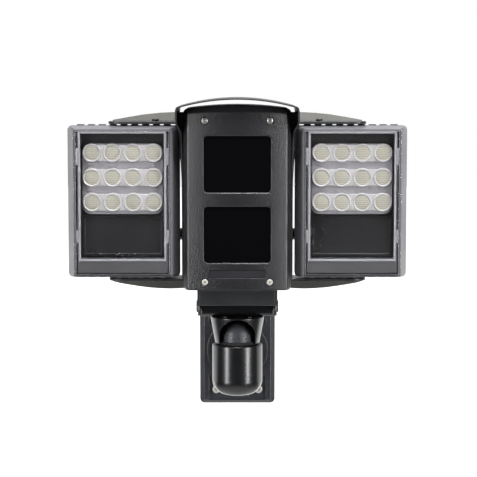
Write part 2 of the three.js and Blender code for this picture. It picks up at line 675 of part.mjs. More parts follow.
  // windows and the camera module behind each
  WINDOW_Z.forEach((z, i) => {
    const level = ['upper', 'lower'][i];
    const lap = GLASS_LAP - 0.4;
    const pane = roundedRectangle(
      WINDOW_HALF_WIDTH + lap, WINDOW_HEIGHT / 2 + lap, WINDOW_RADIUS + lap, 0, z,
    );
    const glass = frontPlate(pane, GLASS_FRONT_Y + FIT, GLASS_FRONT_Y + FIT + GLASS_THICKNESS);
    group.add(piece(`window_${level}`, glass, 'glossBlack'));
    group.add(piece(`camera_module_${level}`, cameraModule(z), 'glossBlack'));
  });

  // bezel screws
  BEZEL_SCREW_Z.forEach((z, i) => {
    SIDES.forEach(([name, side]) => {
      const shape = screw(3.8, 2, BEZEL_SCREW_RADIUS, 18, 1.5);
      const mesh = piece(`bezel_screw_${['upper', 'lower'][i]}_${name}`, shape, 'steel');
      mesh.position.set(side * BEZEL_SCREW_X, FACE_Y + COUNTERBORE_DEPTH - FIT, z);
      group.add(mesh);
    });
  });

  // chassis plate that carries the cameras and the control board
  const CHASSIS_Y = -150;
  const CHASSIS_HALF = 52;
  const CHASSIS_BOTTOM = 122;
  const chassis = block(
    -CHASSIS_HALF, CHASSIS_HALF, CHASSIS_Y, CHASSIS_Y + 2, CHASSIS_BOTTOM, 300,
  );
  const chassisFoot = block(
    -CHASSIS_HALF, CHASSIS_HALF, CHASSIS_Y + 1, CHASSIS_Y + 20, CHASSIS_BOTTOM, CHASSIS_BOTTOM + 2,
  );
  group.add(piece('chassis_plate', join(chassis, chassisFoot), 'sheetGrey'));
  const board = block(-44, 44, CHASSIS_Y + 8, CHASSIS_Y + 9.6, 140, 290);
  const chipPlaces = [[-20, 250, 14], [18, 262, 9], [10, 190, 12], [-24, 170, 8]];
  const chips = chipPlaces.map(([x, z, halfSize]) => block(
    x - halfSize, x + halfSize, CHASSIS_Y + 9, CHASSIS_Y + 13, z - halfSize, z + halfSize,
  ));
  group.add(piece('control_board', join(board, ...chips), 'circuit'));
  return group;
}

/** A box camera with a lens barrel, standing behind the window at height z. */
function cameraModule(z) {
  const BOX_FRONT_Y = -188;
  const BOX_REAR_Y = -150.5;
  const box = block(-24, 24, BOX_FRONT_Y, BOX_REAR_Y, z - 22, z + 22);
  const barrel = rod('y', 17, BOX_FRONT_Y - 18, BOX_FRONT_Y + 1, [0, 0, z], 18);
  const hood = rod('y', 14.5, BOX_FRONT_Y - 19, BOX_FRONT_Y - 15, [0, 0, z], 18);
  const glass = rod('y', 11, BOX_FRONT_Y - 16, BOX_FRONT_Y - 14, [0, 0, z], 16);
  return join(box, barrel).subtract(solid(hood)).add(solid(glass));
}

// ---------------------------------------------------------------- sunshield

const SHIELD_SCREW_RADIUS = 2;
const SIDE_PLATE_REACH = 18;        // the wing's side plate runs this far behind its shelves

/** The hole for both sunshield screws, right across the housing. */
function shieldScrewBore() {
  return rod('x', SHIELD_SCREW_RADIUS + FIT, -90, 90, [0, SHIELD_SCREW_Y, SHIELD_SCREW_Z], 10);
}

/** A skirt's outer face in the front view, from its foot up to the shoulder, on the +X side. */
const SKIRT = [
  [65.8, 214], [65.9, 238], [66.1, 256], [66.5, 272], [67, 286], [67.6, 291], [68.8, 294],
  [70.5, 297], [72.2, 300], [SHIELD_HALF_WIDTH, 303], [SHIELD_HALF_WIDTH, 315.4], [72.2, 318.9],
  [71.1, 320.9], [69.9, 321.5],
];

/** The outer edge of the flange that closes the gap between skirt and housing. */
const FLANGE = [
  [65.7, 214], [66.1, 241], [67.1, 253], [68.2, 261], [69, 271], [69.4, 283], [70.2, 290],
  [71, 296], [72.5, 302], [72.5, 314.2],
];

function buildSunshield() {
  const group = new THREE.Group();
  const SKIRT_REAR_Y = -197;
  const REAR_LIP_Z = 315;
  const CROWN_STEPS = 20;
  const FLANGE_THICKNESS = 1.5;
  const FLANGE_REAR_Y = SKIRT_REAR_Y - 0.5;

  // bent sheet: its outer face, and the same line moved inwards by the sheet's thickness
  const side = SKIRT.map(([x, z]) => new THREE.Vector2(x, z));
  const crown = crownPoints(side.at(-1), SHIELD_CROWN, CROWN_STEPS).slice(1, -1);
  const outer = [...side, ...crown, ...mirrored(side)];
  const inner = outer.map((point, i) => {
    const before = outer[Math.max(i - 1, 0)];
    const after = outer[Math.min(i + 1, outer.length - 1)];
    const along = after.clone().sub(before).normalize();
    return new THREE.Vector2(point.x - along.y * SHIELD_SHEET, point.y + along.x * SHIELD_SHEET);
  });
  const sheet = frontPlate([...outer, ...inner.reverse()], SHIELD_FRONT_Y, SHIELD_REAR_Y);

  // the skirts' front edges sweep back from the brow to a line level with the housing's front
  const SKIRT_FRONT_Y = -212;
  const sweep = sidePlate([
    new THREE.Vector2(SHIELD_FRONT_Y - 5, SKIRT[0][1] - 5),
    new THREE.Vector2(SKIRT_FRONT_Y, SKIRT[0][1] - 5),
    new THREE.Vector2(SKIRT_FRONT_Y, 286),
    new THREE.Vector2(SHIELD_FRONT_Y - 1, 303),
    new THREE.Vector2(SHIELD_FRONT_Y - 5, 303),
  ], -100, 100);

  // behind the front skirts only a short lip is left, so that the wings pass under it
  const reliefs = SIDES.map(([, side]) => block(
    Math.min(side * 60, side * 90), Math.max(side * 60, side * 90),
    SKIRT_REAR_Y, SHIELD_REAR_Y + 5, 200, REAR_LIP_Z,
  ));

  // folded flange along the back edge of each skirt
  const flange = FLANGE.map(([x, z]) => new THREE.Vector2(x, z));
  const flangeInner = [
    new THREE.Vector2(SHELL_HALF_WIDTH + FIT, flange.at(-1).y),
    new THREE.Vector2(SHELL_HALF_WIDTH + FIT, flange[0].y),
  ];
  const flangeOutline = [...flange, ...flangeInner];
  const flanges = [flangeOutline, mirrored(flangeOutline)].map((outline) => frontPlate(
    outline, FLANGE_REAR_Y - FLANGE_THICKNESS, FLANGE_REAR_Y,
  ));
  const shield = flanges.reduce((rest, plate) => rest.add(solid(plate)), cut(sheet, sweep, ...reliefs));
  group.add(piece('sunshield', shield.subtract(solid(shieldScrewBore())), 'sheetBlack'));

  // one screw on each side holds the skirts to the housing
  SIDES.forEach(([name, side]) => {
    const shape = screw(3.4, 1.6, SHIELD_SCREW_RADIUS, 9, 1.4);
    const mesh = piece(`shield_screw_${name}`, shape, 'darkSteel');
    mesh.rotation.z = side * Math.PI / 2;
    mesh.position.set(side * (SHIELD_SCREW_X + FIT), SHIELD_SCREW_Y, SHIELD_SCREW_Z);
    group.add(mesh);
  });
  return group;
}

// ---------------------------------------------------------------- wing brackets

/** Free edge of each wing web: distance from the middle plane, and height along the web. */
const UPPER_WEB = [
  [63.9, 10.8], [76, 10.6], [94, 9.7], [112.5, 7.7], [130, 4.6], [143, 2.1], [151, 0.5],
];
const LOWER_WEB = [
  [63.9, 13.6], [73, 14.2], [83, 14.5], [95, 14], [107, 13], [120, 11.1], [132, 9], [144, 6.6],
  [151.5, 4.4], [154.4, 1.8],
];

/** One wing bracket, drawn on the +X side: a side plate, two shelves and two leaning webs. */
function wingSolid() {
  const SHELF = 3;
  const sideOuter = WING_INNER_X + WING_SHEET;
  const TIP_RADIUS = 16;
  const shelfOutline = [
    new THREE.Vector2(WING_INNER_X, WING_FRONT_Y),
    ...arcPoints(WING_TIP_X - TIP_RADIUS, WING_FRONT_Y + TIP_RADIUS, TIP_RADIUS, 270, 360, 6),
    ...arcPoints(WING_TIP_X - 8, WING_REAR_Y - 8, 8, 0, 90, 4),
    new THREE.Vector2(WING_INNER_X, WING_REAR_Y),
  ];
  const shelves = [
    prism(shelfOutline, WING_TOP_Z - SHELF, WING_TOP_Z),
    prism(shelfOutline, WING_BOTTOM_Z, WING_BOTTOM_Z + SHELF),
  ];
  const sideWall = block(
    WING_INNER_X, sideOuter, WING_FRONT_Y + 3, WING_REAR_Y + SIDE_PLATE_REACH,
    WING_BOTTOM_Z, WING_TOP_Z,
  );
  const places = [[1, UPPER_WEB, WING_TOP_Z], [-1, LOWER_WEB, WING_BOTTOM_Z]];
  const webs = places.map(([up, edge, shelfZ]) => {
    const outline = [
      new THREE.Vector2(edge[0][0], -1.5),
      new THREE.Vector2(edge.at(-1)[0], -1.5),
      ...edge.map(([x, height]) => new THREE.Vector2(x, height)).reverse(),
    ];
    const web = frontPlate(outline, -WING_SHEET, 0);
    if (up < 0) {
      web.scale(1, 1, -1);
      web.index.array.reverse();
    }
    return web.rotateX(-up * THREE.MathUtils.degToRad(WING_WEB_LEAN))
      .translate(0, WING_REAR_Y - 0.2, shelfZ);
  });
  return join(...shelves, sideWall, ...webs);
}

const WING_BOLT_Y = -149;
const WING_BOLT_Z = 165.2;
const PIVOT_SCREW_RADIUS = 2.5;

function buildWing(name, side) {
  const group = new THREE.Group();
  const boltHole = rod('x', 3.3, 50, 80, [0, WING_BOLT_Y, WING_BOLT_Z], 14);
  const pivotHole = rod(
    'z', PIVOT_SCREW_RADIUS + FIT, 50, 400, [LAMP_PIVOT_X, LAMP_PIVOT_Y, 0], 16,
  );
  const wing = wingSolid().subtract(solid(boltHole)).subtract(solid(pivotHole));
  const placed = toGeometry(wing);
  if (side < 0) {
    placed.scale(-1, 1, 1);
    placed.index.array.reverse();
  }
  group.add(piece(`wing_${name}`, placed, 'sheetGrey'));

  // hexagon bolt that holds the wing's side plate
  const bolt = piece(`wing_bolt_${name}`, hexBolt(7.2, 4.4, 2.9, 2.2), 'darkSteel');
  bolt.rotation.z = side > 0 ? Math.PI : 0;
  bolt.position.set(side * (WING_INNER_X + WING_SHEET + FIT), WING_BOLT_Y, WING_BOLT_Z);
  group.add(bolt);

  // pivot screws, one through each shelf into the floodlight
  [['upper', 1, WING_TOP_Z], ['lower', -1, WING_BOTTOM_Z]].forEach(([level, up, seat]) => {
    const shape = screw(4.2, 2.6, PIVOT_SCREW_RADIUS, 12, 1.7);
    const mesh = piece(`pivot_screw_${level}_${name}`, shape, 'darkSteel');
    mesh.rotation.x = -up * Math.PI / 2;
    mesh.position.set(side * LAMP_PIVOT_X, LAMP_PIVOT_Y, seat + up * FIT);
    group.add(mesh);
  });
  return group;
}

// ---------------------------------------------------------------- floodlights

/** One floodlight, drawn about its own centre and placed by its group. */
function buildLamp(name, side) {
  const group = new THREE.Group();
  group.position.set(side * LAMP_X, 0, LAMP_Z);
  const pivotX = side * (LAMP_PIVOT_X - LAMP_X);
  const COVER_WALL = 2.4;
  const seat = roundedRectangle(LAMP_HALF_WIDTH, LAMP_HALF_HEIGHT, 5);
  const face = roundedRectangle(LAMP_FACE_HALF_WIDTH, LAMP_FACE_HALF_HEIGHT, 2.5);
  const seatInner = roundedRectangle(LAMP_HALF_WIDTH - COVER_WALL, LAMP_HALF_HEIGHT - COVER_WALL, 4);
  const faceInner = roundedRectangle(
    LAMP_FACE_HALF_WIDTH - COVER_WALL, LAMP_FACE_HALF_HEIGHT - COVER_WALL, 1.5,
  );

  // clear cover: a tapered box, open at the back
  const depth = LAMP_SEAT_Y - LAMP_FRONT_Y;
  const RIM = 3;
  const coverOutside = faceFront(stack([
    { outline: seat, at: FIT },
    { outline: seat, at: RIM },
    { outline: face, at: depth },
  ]), LAMP_SEAT_Y);
  const coverInside = faceFront(stack([
    { outline: seatInner, at: -2 },
    { outline: seatInner, at: RIM },
    { outline: faceInner, at: depth - COVER_WALL },
  ]), LAMP_SEAT_Y);
  group.add(piece(`lamp_cover_${name}`, cut(coverOutside, coverInside), 'clearPlastic'));

  // body: a thick frame with a solid back and a finned heat sink, drilled for the pivot screws
  const FIN_COUNT = 9;
  const FIN_THICKNESS = 2.4;
  const FIN_HALF_WIDTH = 52;
  const FIN_HALF_HEIGHT = 90;
  const BODY_FRONT_Y = LAMP_SEAT_Y + 0.2;
  const backRim = roundedRectangle(LAMP_HALF_WIDTH - 3, LAMP_HALF_HEIGHT - 2, 5);
  const core = faceFront(stack([
    { outline: backRim, at: 0 },
    { outline: seat, at: 5 },
    { outline: seat, at: LAMP_BODY_REAR_Y - BODY_FRONT_Y },
  ]), LAMP_BODY_REAR_Y);
  const finX = (i) => FIN_HALF_WIDTH * (2 * i / (FIN_COUNT - 1) - 1);
  const fins = [];
  for (let i = 0; i < FIN_COUNT; i += 1) {
    const x = finX(i);
    const nearPivot = Math.abs(x - pivotX) < 7;
    const height = nearPivot ? FIN_HALF_HEIGHT - 14 : FIN_HALF_HEIGHT;
    fins.push(block(
      x - FIN_THICKNESS / 2, x + FIN_THICKNESS / 2,
      LAMP_BODY_REAR_Y - 1, LAMP_FIN_REAR_Y, -height, height,
    ));
  }

  // lugs along the top and bottom, which keep the lamp from rattling between the wing's shelves
  const LUG_HALF_WIDTH = 4.2;
  const LUG_REACH = LAMP_HALF_HEIGHT + 1.2;
  const lugs = [-1, 1].flatMap((up) => fins.map((fin, i) => {
    const ends = [up * LUG_REACH, up * (LAMP_HALF_HEIGHT - 1)];
    return block(
      finX(i) - LUG_HALF_WIDTH, finX(i) + LUG_HALF_WIDTH, LAMP_SEAT_Y + 2, LAMP_BODY_REAR_Y - 2,
      Math.min(...ends), Math.max(...ends),
    );
  }));
  const POCKET_INSET = 9;
  const trayPocket = frontPlate(
    roundedRectangle(LAMP_HALF_WIDTH - POCKET_INSET, LAMP_HALF_HEIGHT - POCKET_INSET, 4),
    LAMP_SEAT_Y - 5, LAMP_SEAT_Y + 7,
  );
  const PIVOT_DEPTH = 9.5;
  const bores = [-1, 1].map((up) => {
    const end = LAMP_HALF_HEIGHT - PIVOT_DEPTH;
    const from = up > 0 ? end : -LAMP_HALF_HEIGHT - 5;
    const to = up > 0 ? LAMP_HALF_HEIGHT + 5 : -end;
    return rod('z', PIVOT_SCREW_RADIUS + FIT, from, to, [pivotX, LAMP_PIVOT_Y, 0], 16);
  });
  const cableBore = rod('y', 5.3, -200, -140, [0, 0, -62], 16);
  const sink = join(core, ...fins, ...lugs);
  const tools = [trayPocket, ...bores, cableBore];
  const body = tools.reduce((rest, tool) => rest.subtract(solid(tool)), sink);
  group.add(piece(`lamp_body_${name}`, body, 'heatSink'));

  // gasket under the cover's rim
  const inset = COVER_WALL + 0.6;
  const gasketPlate = frontPlate(
    roundedRectangle(LAMP_HALF_WIDTH - inset, LAMP_HALF_HEIGHT - inset, 4),
    LAMP_SEAT_Y - 1, LAMP_SEAT_Y - FIT + 0.2,
  );
  const gasketHole = frontPlate(
    roundedRectangle(LAMP_HALF_WIDTH - POCKET_INSET, LAMP_HALF_HEIGHT - POCKET_INSET, 3), -200, -170,
  );
  group.add(piece(`lamp_gasket_${name}`, cut(gasketPlate, gasketHole), 'rubber'));

  // mask: a black tray that fills the cover round the lens array
  const RECESS_HALF_WIDTH = 49.2;
  const RECESS_Z = [-65.3, 82.3];
  const MASK_FRONT_Y = LAMP_FRONT_Y + COVER_WALL + 1;
  const MASK_REAR_Y = LAMP_SEAT_Y - 1.4;
  const RECESS_FLOOR_Y = -197;
  const maskBody = faceFront(stack([
    { outline: roundedRectangle(56, 80, 3), at: 0 },
    { outline: roundedRectangle(53.5, 83.5, 2), at: MASK_REAR_Y - MASK_FRONT_Y },
  ]), MASK_REAR_Y);
  const recess = block(
    -RECESS_HALF_WIDTH, RECESS_HALF_WIDTH, MASK_FRONT_Y - 5, RECESS_FLOOR_Y, RECESS_Z[0], RECESS_Z[1],
  );
  const boardPocket = block(-50, 50, -188, MASK_REAR_Y + 5, ARRAY_Z - 46, ARRAY_Z + 46);
  const lensWindow = frontPlate(
    roundedRectangle(ARRAY_WIDTH / 2 - 4, ARRAY_HEIGHT / 2 - 4, 6, 0, ARRAY_Z),
    RECESS_FLOOR_Y - 1, LAMP_SEAT_Y + 1,
  );
  group.add(piece(`lamp_mask_${name}`, cut(maskBody, recess, boardPocket, lensWindow), 'lampMask'));

  // lens array: a rounded plate with one lens over each emitter
  const ARRAY_BACK_Y = RECESS_FLOOR_Y - FIT;
  const ARRAY_PLATE = 4;
  const LENS_HEIGHT = 5.5;
  const LENS_TAPER = 2.4;
  const LENS_SIDES = 12;
  const plate = frontPlate(
    roundedRectangle(ARRAY_WIDTH / 2, ARRAY_HEIGHT / 2, 10, 0, ARRAY_Z),
    ARRAY_BACK_Y - ARRAY_PLATE, ARRAY_BACK_Y,
  );
  const LENS_RISE = 1.6;            // the rows' middle stands this far above the plate's middle
  const lensY = ARRAY_BACK_Y - ARRAY_PLATE - LENS_HEIGHT / 2 + 0.5;
  const lenses = [];
  for (let row = 0; row < LENS_ROWS; row += 1) {
    for (let column = 0; column < LENS_COLUMNS; column += 1) {
      const x = (column - (LENS_COLUMNS - 1) / 2) * LENS_PITCH_X;
      const z = ARRAY_Z + LENS_RISE + ((LENS_ROWS - 1) / 2 - row) * LENS_PITCH_Z;
      lenses.push(new THREE.CylinderGeometry(
        LENS_RADIUS, LENS_RADIUS - LENS_TAPER, LENS_HEIGHT, LENS_SIDES,
      ).translate(x, lensY, z));
    }
  }
  group.add(piece(`lens_array_${name}`, join(plate, ...lenses), 'milkyLens'));

  // board with the emitters, in the pocket behind the mask's floor
  const emitterBoard = block(-48, 48, -187.4, -185.8, ARRAY_Z - 42, ARRAY_Z + 42);
  group.add(piece(`led_board_${name}`, emitterBoard, 'circuit'));

  // cable gland on the back, between the fins
  const glandSeat = LAMP_BODY_REAR_Y;
  const stem = rod('y', 5, glandSeat - 5, glandSeat + 4, [0, 0, -62], 16);
  group.add(piece(`lamp_gland_${name}`, stem, 'rubber'));
  return group;
}

// ---------------------------------------------------------------- assembly

const floodlightCamera = new THREE.Group();
const wallBracket = buildWallBracket();
const panHead = buildPanHead();
const cameraHead = buildHousing();

cameraHead.add(buildTiltChannel(), buildSunshield());
SIDES.forEach(([name, side]) => {
  cameraHead.add(buildWing(name, side), buildLamp(name, side));
});
panHead.add(cameraHead);
wallBracket.add(panHead);
floodlightCamera.add(wallBracket);

export default floodlightCamera;
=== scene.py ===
import math

import bpy
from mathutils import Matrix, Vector


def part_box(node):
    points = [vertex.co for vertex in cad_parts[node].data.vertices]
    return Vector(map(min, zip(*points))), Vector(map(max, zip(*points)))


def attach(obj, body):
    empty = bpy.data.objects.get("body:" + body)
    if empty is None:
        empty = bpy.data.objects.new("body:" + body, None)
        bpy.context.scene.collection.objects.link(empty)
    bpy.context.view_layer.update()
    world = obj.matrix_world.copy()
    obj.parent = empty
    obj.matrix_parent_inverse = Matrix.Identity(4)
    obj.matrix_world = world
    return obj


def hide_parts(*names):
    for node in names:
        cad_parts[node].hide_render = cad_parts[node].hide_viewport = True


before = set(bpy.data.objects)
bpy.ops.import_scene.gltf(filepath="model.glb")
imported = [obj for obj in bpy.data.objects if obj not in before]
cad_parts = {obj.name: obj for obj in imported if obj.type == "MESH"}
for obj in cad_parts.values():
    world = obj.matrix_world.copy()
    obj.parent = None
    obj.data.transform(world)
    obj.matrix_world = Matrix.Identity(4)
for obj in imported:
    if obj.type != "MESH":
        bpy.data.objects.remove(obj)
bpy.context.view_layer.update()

MM = 0.001
SAME_PLACE = 1e-6       # metres: points nearer than this count as one

# sizes in mm, which follow the CAD model
BARREL_FOOT_RADIUS = 18
ARM_RADIUS = 25
PIPS = 40
PIP_RADIUS = 0.9
PIP_ROWS = (40.2, 43.4)
PAN_AXIS_TO_BLOCK = 14  # from the front of the tilt block back to the pan axis
CUP_WALL = 2.8
CUP_FOOT_RADIUS = 27
ARCH_HALF_WIDTH = 21.6
ARCH_SPRING = 43.3
CUP_BOLT_X = 14.9
CUP_BOLT_Y = 25.5       # in front of the pan axis
CHANNEL_FOLD_Z = 83.1
SHELF_LEVELS = (301.7, 113.5)
SHELF_HALF = 2.2
LAMP_X = 136
LAMP_Z = 207.5

SIDES = (("left", -1), ("right", 1))
LEVELS = (("upper", 1), ("lower", -1))


# ------------------------------------------------------------------ colours and shader nodes

def linear(hex_colour):
    """An sRGB hex colour as the linear colour that a shader socket takes."""
    channels = [int(hex_colour[i:i + 2], 16) / 255 for i in (1, 3, 5)]
    return tuple(
        c / 12.92 if c <= 0.04045 else ((c + 0.055) / 1.055) ** 2.4 for c in channels
    ) + (1.0,)


def add(tree, kind, sockets=None, **settings):
    """Adds a shader node with its settings; each socket is given a value or linked to an output."""
    node = tree.nodes.new("ShaderNode" + kind)
    for name, value in settings.items():
        setattr(node, name, value)
    for name, value in (sockets or {}).items():
        if isinstance(value, bpy.types.NodeSocket):
            tree.links.new(value, node.inputs[name])
        else:
            node.inputs[name].default_value = value
    return node


def surface(name, colour, roughness, sockets=None):
    """A material with one Principled shader. Returns the material, its tree and the shader."""
    material = bpy.data.materials.new(name)
    material.use_nodes = True
    tree = material.node_tree
    shader = tree.nodes["Principled BSDF"]
    shader.inputs["Base Color"].default_value = linear(colour)
    shader.inputs["Roughness"].default_value = roughness
    for socket, value in (sockets or {}).items():
        shader.inputs[socket].default_value = value
    return material, tree, shader


def per_metre(millimetres):
    """The scale of a pattern whose features are this many millimetres across."""
    return 1 / (millimetres * MM)


GLOSS_PATCH = 40.0      # mm across a patch of slightly different gloss


def coat_texture(tree, shader, grain, depth, rough, tones=None):
    """Texture of a coat: bumps of a grain size and depth in mm, and slow changes of its gloss."""
    place = add(tree, "TexCoord").outputs["Object"]
    bumps = add(tree, "TexNoise", {"Vector": place, "Scale": per_metre(grain), "Detail": 3.0})
    relief = add(tree, "Bump", {"Height": bumps.outputs["Fac"], "Distance": depth * MM})
    tree.links.new(relief.outputs["Normal"], shader.inputs["Normal"])
    drift = add(tree, "TexNoise", {
        "Vector": place, "Scale": per_metre(GLOSS_PATCH), "Detail": 4.0,
    })
    gloss = add(tree, "MapRange", {
        "Value": drift.outputs["Fac"], "From Min": 0.3, "From Max": 0.7,
        "To Min": rough[0], "To Max": rough[1],
    })
    tree.links.new(gloss.outputs["Result"], shader.inputs["Roughness"])
    if tones:
        speckle = add(tree, "MapRange", {
            "Value": bumps.outputs["Fac"], "From Min": 0.35, "From Max": 0.65,
        })
        tone = add(tree, "Mix", {
            "Factor": speckle.outputs["Result"], "A": linear(tones[0]), "B": linear(tones[1]),
        }, data_type="RGBA")
        tree.links.new(tone.outputs["Result"], shader.inputs["Base Color"])


def pass_light(tree, shader, tint):
    """Lets the lamps shine straight through a clear wall, in place of the light that it bends."""
    path = add(tree, "LightPath")
    through = add(tree, "BsdfTransparent", {"Color": tint})
    mix = add(tree, "MixShader", {
        0: path.outputs["Is Shadow Ray"], 1: shader.outputs["BSDF"], 2: through.outputs["BSDF"],
    })
    tree.links.new(mix.outputs["Shader"], tree.nodes["Material Output"].inputs["Surface"])


# ------------------------------------------------------------------ materials

def gloss_enamel():
    """Stoved gloss enamel on cast aluminium: deep black, sharp highlights, faint orange peel."""
    material, tree, shader = surface("gloss_black_enamel", "#0b0c0e", 0.28, {
        "IOR": 1.52, "Coat Weight": 0.25, "Coat Roughness": 0.2,
    })
    coat_texture(tree, shader, 5.0, 0.002, (0.26, 0.31), ("#090a0c", "#0e0f11"))
    return material


def satin_enamel():
    """The same casting in satin enamel: the highlights spread and the cast skin shows a little."""
    material, tree, shader = surface("satin_black_enamel", "#2d2e32", 0.35, {"IOR": 1.5})
    coat_texture(tree, shader, 1.8, 0.03, (0.28, 0.4), ("#28292d", "#333438"))
    return material


def powder_coat():
    """Fine-texture black powder coat on folded sheet: a dry sheen with a dense tiny orange peel."""
    material, tree, shader = surface("black_powder_coat", "#1d1e21", 0.45, {"IOR": 1.5})
    coat_texture(tree, shader, 1.2, 0.04, (0.38, 0.5), ("#18191b", "#242528"))
    return material


def olive_powder_coat():
    """Olive-grey powder coat on the wings: warmer and paler than the black sheet."""
    material, tree, shader = surface("olive_grey_powder_coat", "#4c4b46", 0.5, {"IOR": 1.5})
    coat_texture(tree, shader, 1.2, 0.04, (0.42, 0.55), ("#32312e", "#403f3a"))
    return material


def grained_nylon():
    """Glass-filled nylon moulded against an etched tool: a fine leather grain with a soft sheen.
    The real grain is about 0.5 mm and is drawn at 1.6 mm so that it shows. The shading is also
    bent as if the flat face were crowned, far more than a real one would be, so that its sides
    catch the strip lights and its middle stays dark."""
    grain_depth, crown_depth, half_width = 0.22, 8.0, 60.0
    material, tree, shader = surface("grained_black_nylon", "#26262a", 0.4, {"IOR": 1.53})
    place = add(tree, "TexCoord").outputs["Object"]
    cells = add(tree, "TexVoronoi", {"Vector": place, "Scale": per_metre(1.6)}, feature="SMOOTH_F1")
    pores = add(tree, "TexNoise", {"Vector": place, "Scale": per_metre(0.9), "Detail": 4.0})
    grain = add(tree, "Math", {
        0: cells.outputs["Distance"], 1: pores.outputs["Fac"],
    }, operation="ADD")
    axes = add(tree, "SeparateXYZ", {"Vector": place})
    square = add(tree, "Math", {0: axes.outputs["X"], 1: axes.outputs["X"]}, operation="MULTIPLY")
    crown = add(tree, "Math", {
        0: square.outputs["Value"], 1: -crown_depth / grain_depth / (half_width * MM) ** 2,
        2: grain.outputs["Value"],
    }, operation="MULTIPLY_ADD")
    relief = add(tree, "Bump", {"Height": crown.outputs["Value"], "Distance": grain_depth * MM})
    tree.links.new(relief.outputs["Normal"], shader.inputs["Normal"])
    hollow = add(tree, "MapRange", {
        "Value": pores.outputs["Fac"], "From Min": 0.35, "From Max": 0.65,
    })
    tone = add(tree, "Mix", {
        "Factor": hollow.outputs["Result"], "A": linear("#0c0c0f"), "B": linear("#18181b"),
    }, data_type="RGBA")
    tree.links.new(tone.outputs["Result"], shader.inputs["Base Color"])
    polish = add(tree, "MapRange", {
        "Value": cells.outputs["Distance"], "From Max": 0.8, "To Min": 0.3, "To Max": 0.4,
    })
    tree.links.new(polish.outputs["Result"], shader.inputs["Roughness"])
    return material


def tinted_acrylic():
    """Cast acrylic in a near-black infrared-pass tint: flat, polished, reflects like glass."""
    material, tree, shader = surface("tinted_acrylic", "#040405", 0.03, {"IOR": 1.49})
    place = add(tree, "TexCoord").outputs["Object"]
    sweep = add(tree, "TexNoise", {"Vector": place, "Scale": per_metre(60.0), "Detail": 1.0})
    film = add(tree, "MapRange", {"Value": sweep.outputs["Fac"], "To Min": 0.02, "To Max": 0.07})
    tree.links.new(film.outputs["Result"], shader.inputs["Roughness"])
    return material


def lens_black():
    """Polished black of the camera barrels and their glass behind the windows."""
    material, tree, shader = surface("polished_lens_black", "#08080a", 0.1, {"IOR": 1.5})
    coat_texture(tree, shader, 2.0, 0.01, (0.08, 0.14))
    return material


def label_foil():
    """Blank black anodised foil plate, sunk in the bezel."""
    material, tree, shader = surface("blank_label_foil", "#1c1c1f", 0.35, {"IOR": 1.5})
    coat_texture(tree, shader, 0.8, 0.01, (0.3, 0.4), ("#1a1a1d", "#222226"))
    return material


def rubber():
    """EPDM rubber: dead matt black with a little bloom."""
    material, tree, shader = surface("epdm_rubber", "#141414", 0.85, {"IOR": 1.52})
    coat_texture(tree, shader, 1.0, 0.05, (0.75, 0.92), ("#101010", "#1a1a1a"))
    return material


def hub_rubber():
    """Soft-touch moulding of the pan hub: matt charcoal that picks up a broad soft sheen."""
    material, tree, shader = surface("soft_touch_moulding", "#3a3b41", 0.4, {"IOR": 1.5})
    coat_texture(tree, shader, 1.2, 0.06, (0.36, 0.46), ("#323338", "#43444a"))
    return material


def stainless():
    """Turned stainless steel screws: bright, with faint machining rings round the drive."""
    material, tree, shader = surface("stainless_steel", "#b9b6b2", 0.36, {"Metallic": 1.0})
    coat_texture(tree, shader, 0.7, 0.01, (0.32, 0.4), ("#aeaba7", "#c6c3bf"))
    return material


def black_oxide():
    """Steel fasteners in black oxide: dark, faintly metallic, with a little oil sheen."""
    material, tree, shader = surface("black_oxide_steel", "#2c2b2a", 0.38, {"Metallic": 0.85})
    coat_texture(tree, shader, 0.8, 0.02, (0.3, 0.46), ("#242322", "#363432"))
    return material


def anodised_sink():
    """Extruded aluminium heat sink, black anodised: satin, with fine die lines along the fins."""
    material, tree, shader = surface("black_anodised_aluminium", "#2b2b2d", 0.4, {"Metallic": 0.55})
    place = add(tree, "TexCoord").outputs["Object"]
    drawn = add(tree, "Mapping", {"Vector": place, "Scale": (1.0, 1.0, 0.03)})
    lines = add(tree, "TexNoise", {
        "Vector": drawn.outputs["Vector"], "Scale": per_metre(0.8), "Detail": 2.0,
    })
    relief = add(tree, "Bump", {"Height": lines.outputs["Fac"], "Distance": 0.03 * MM})
    tree.links.new(relief.outputs["Normal"], shader.inputs["Normal"])
    gloss = add(tree, "MapRange", {"Value": lines.outputs["Fac"], "To Min": 0.3, "To Max": 0.5})
    tree.links.new(gloss.outputs["Result"], shader.inputs["Roughness"])
    return material


def tray_black():
    """Injection-moulded black tray inside each floodlight: smooth satin ABS."""
    material, tree, shader = surface("satin_black_abs", "#131315", 0.3, {"IOR": 1.53})
    coat_texture(tree, shader, 1.4, 0.005, (0.26, 0.34), ("#101012", "#17171a"))
    return material


def lit_tray_rim():
    """The tray's front rim and side walls behind the clear cover: the same ABS, left matt, with a
    paler colour that is painted light for the strip lights falling on them through the cover.
    """
    material, tree, shader = surface("abs_with_painted_light", "#2a2a2e", 0.5, {"IOR": 1.53})
    coat_texture(tree, shader, 1.4, 0.02, (0.44, 0.56), ("#262629", "#2e2e33"))
    return material


def clear_polycarbonate():
    """Clear polycarbonate face of the cover: water-white and polished. Its bends are drawn as
    bright lines by the grey wall material, which is a painted highlight.
    """
    material, tree, shader = surface("clear_polycarbonate", "#f6f6f4", 0.02, {
        "IOR": 1.58, "Transmission Weight": 1.0,
    })
    place = add(tree, "TexCoord").outputs["Object"]
    flow = add(tree, "TexNoise", {"Vector": place, "Scale": per_metre(18.0), "Detail": 1.0})
    relief = add(tree, "Bump", {"Height": flow.outputs["Fac"], "Distance": 0.02 * MM})
    tree.links.new(relief.outputs["Normal"], shader.inputs["Normal"])
    pass_light(tree, shader, (0.9, 0.9, 0.9, 1.0))
    return material


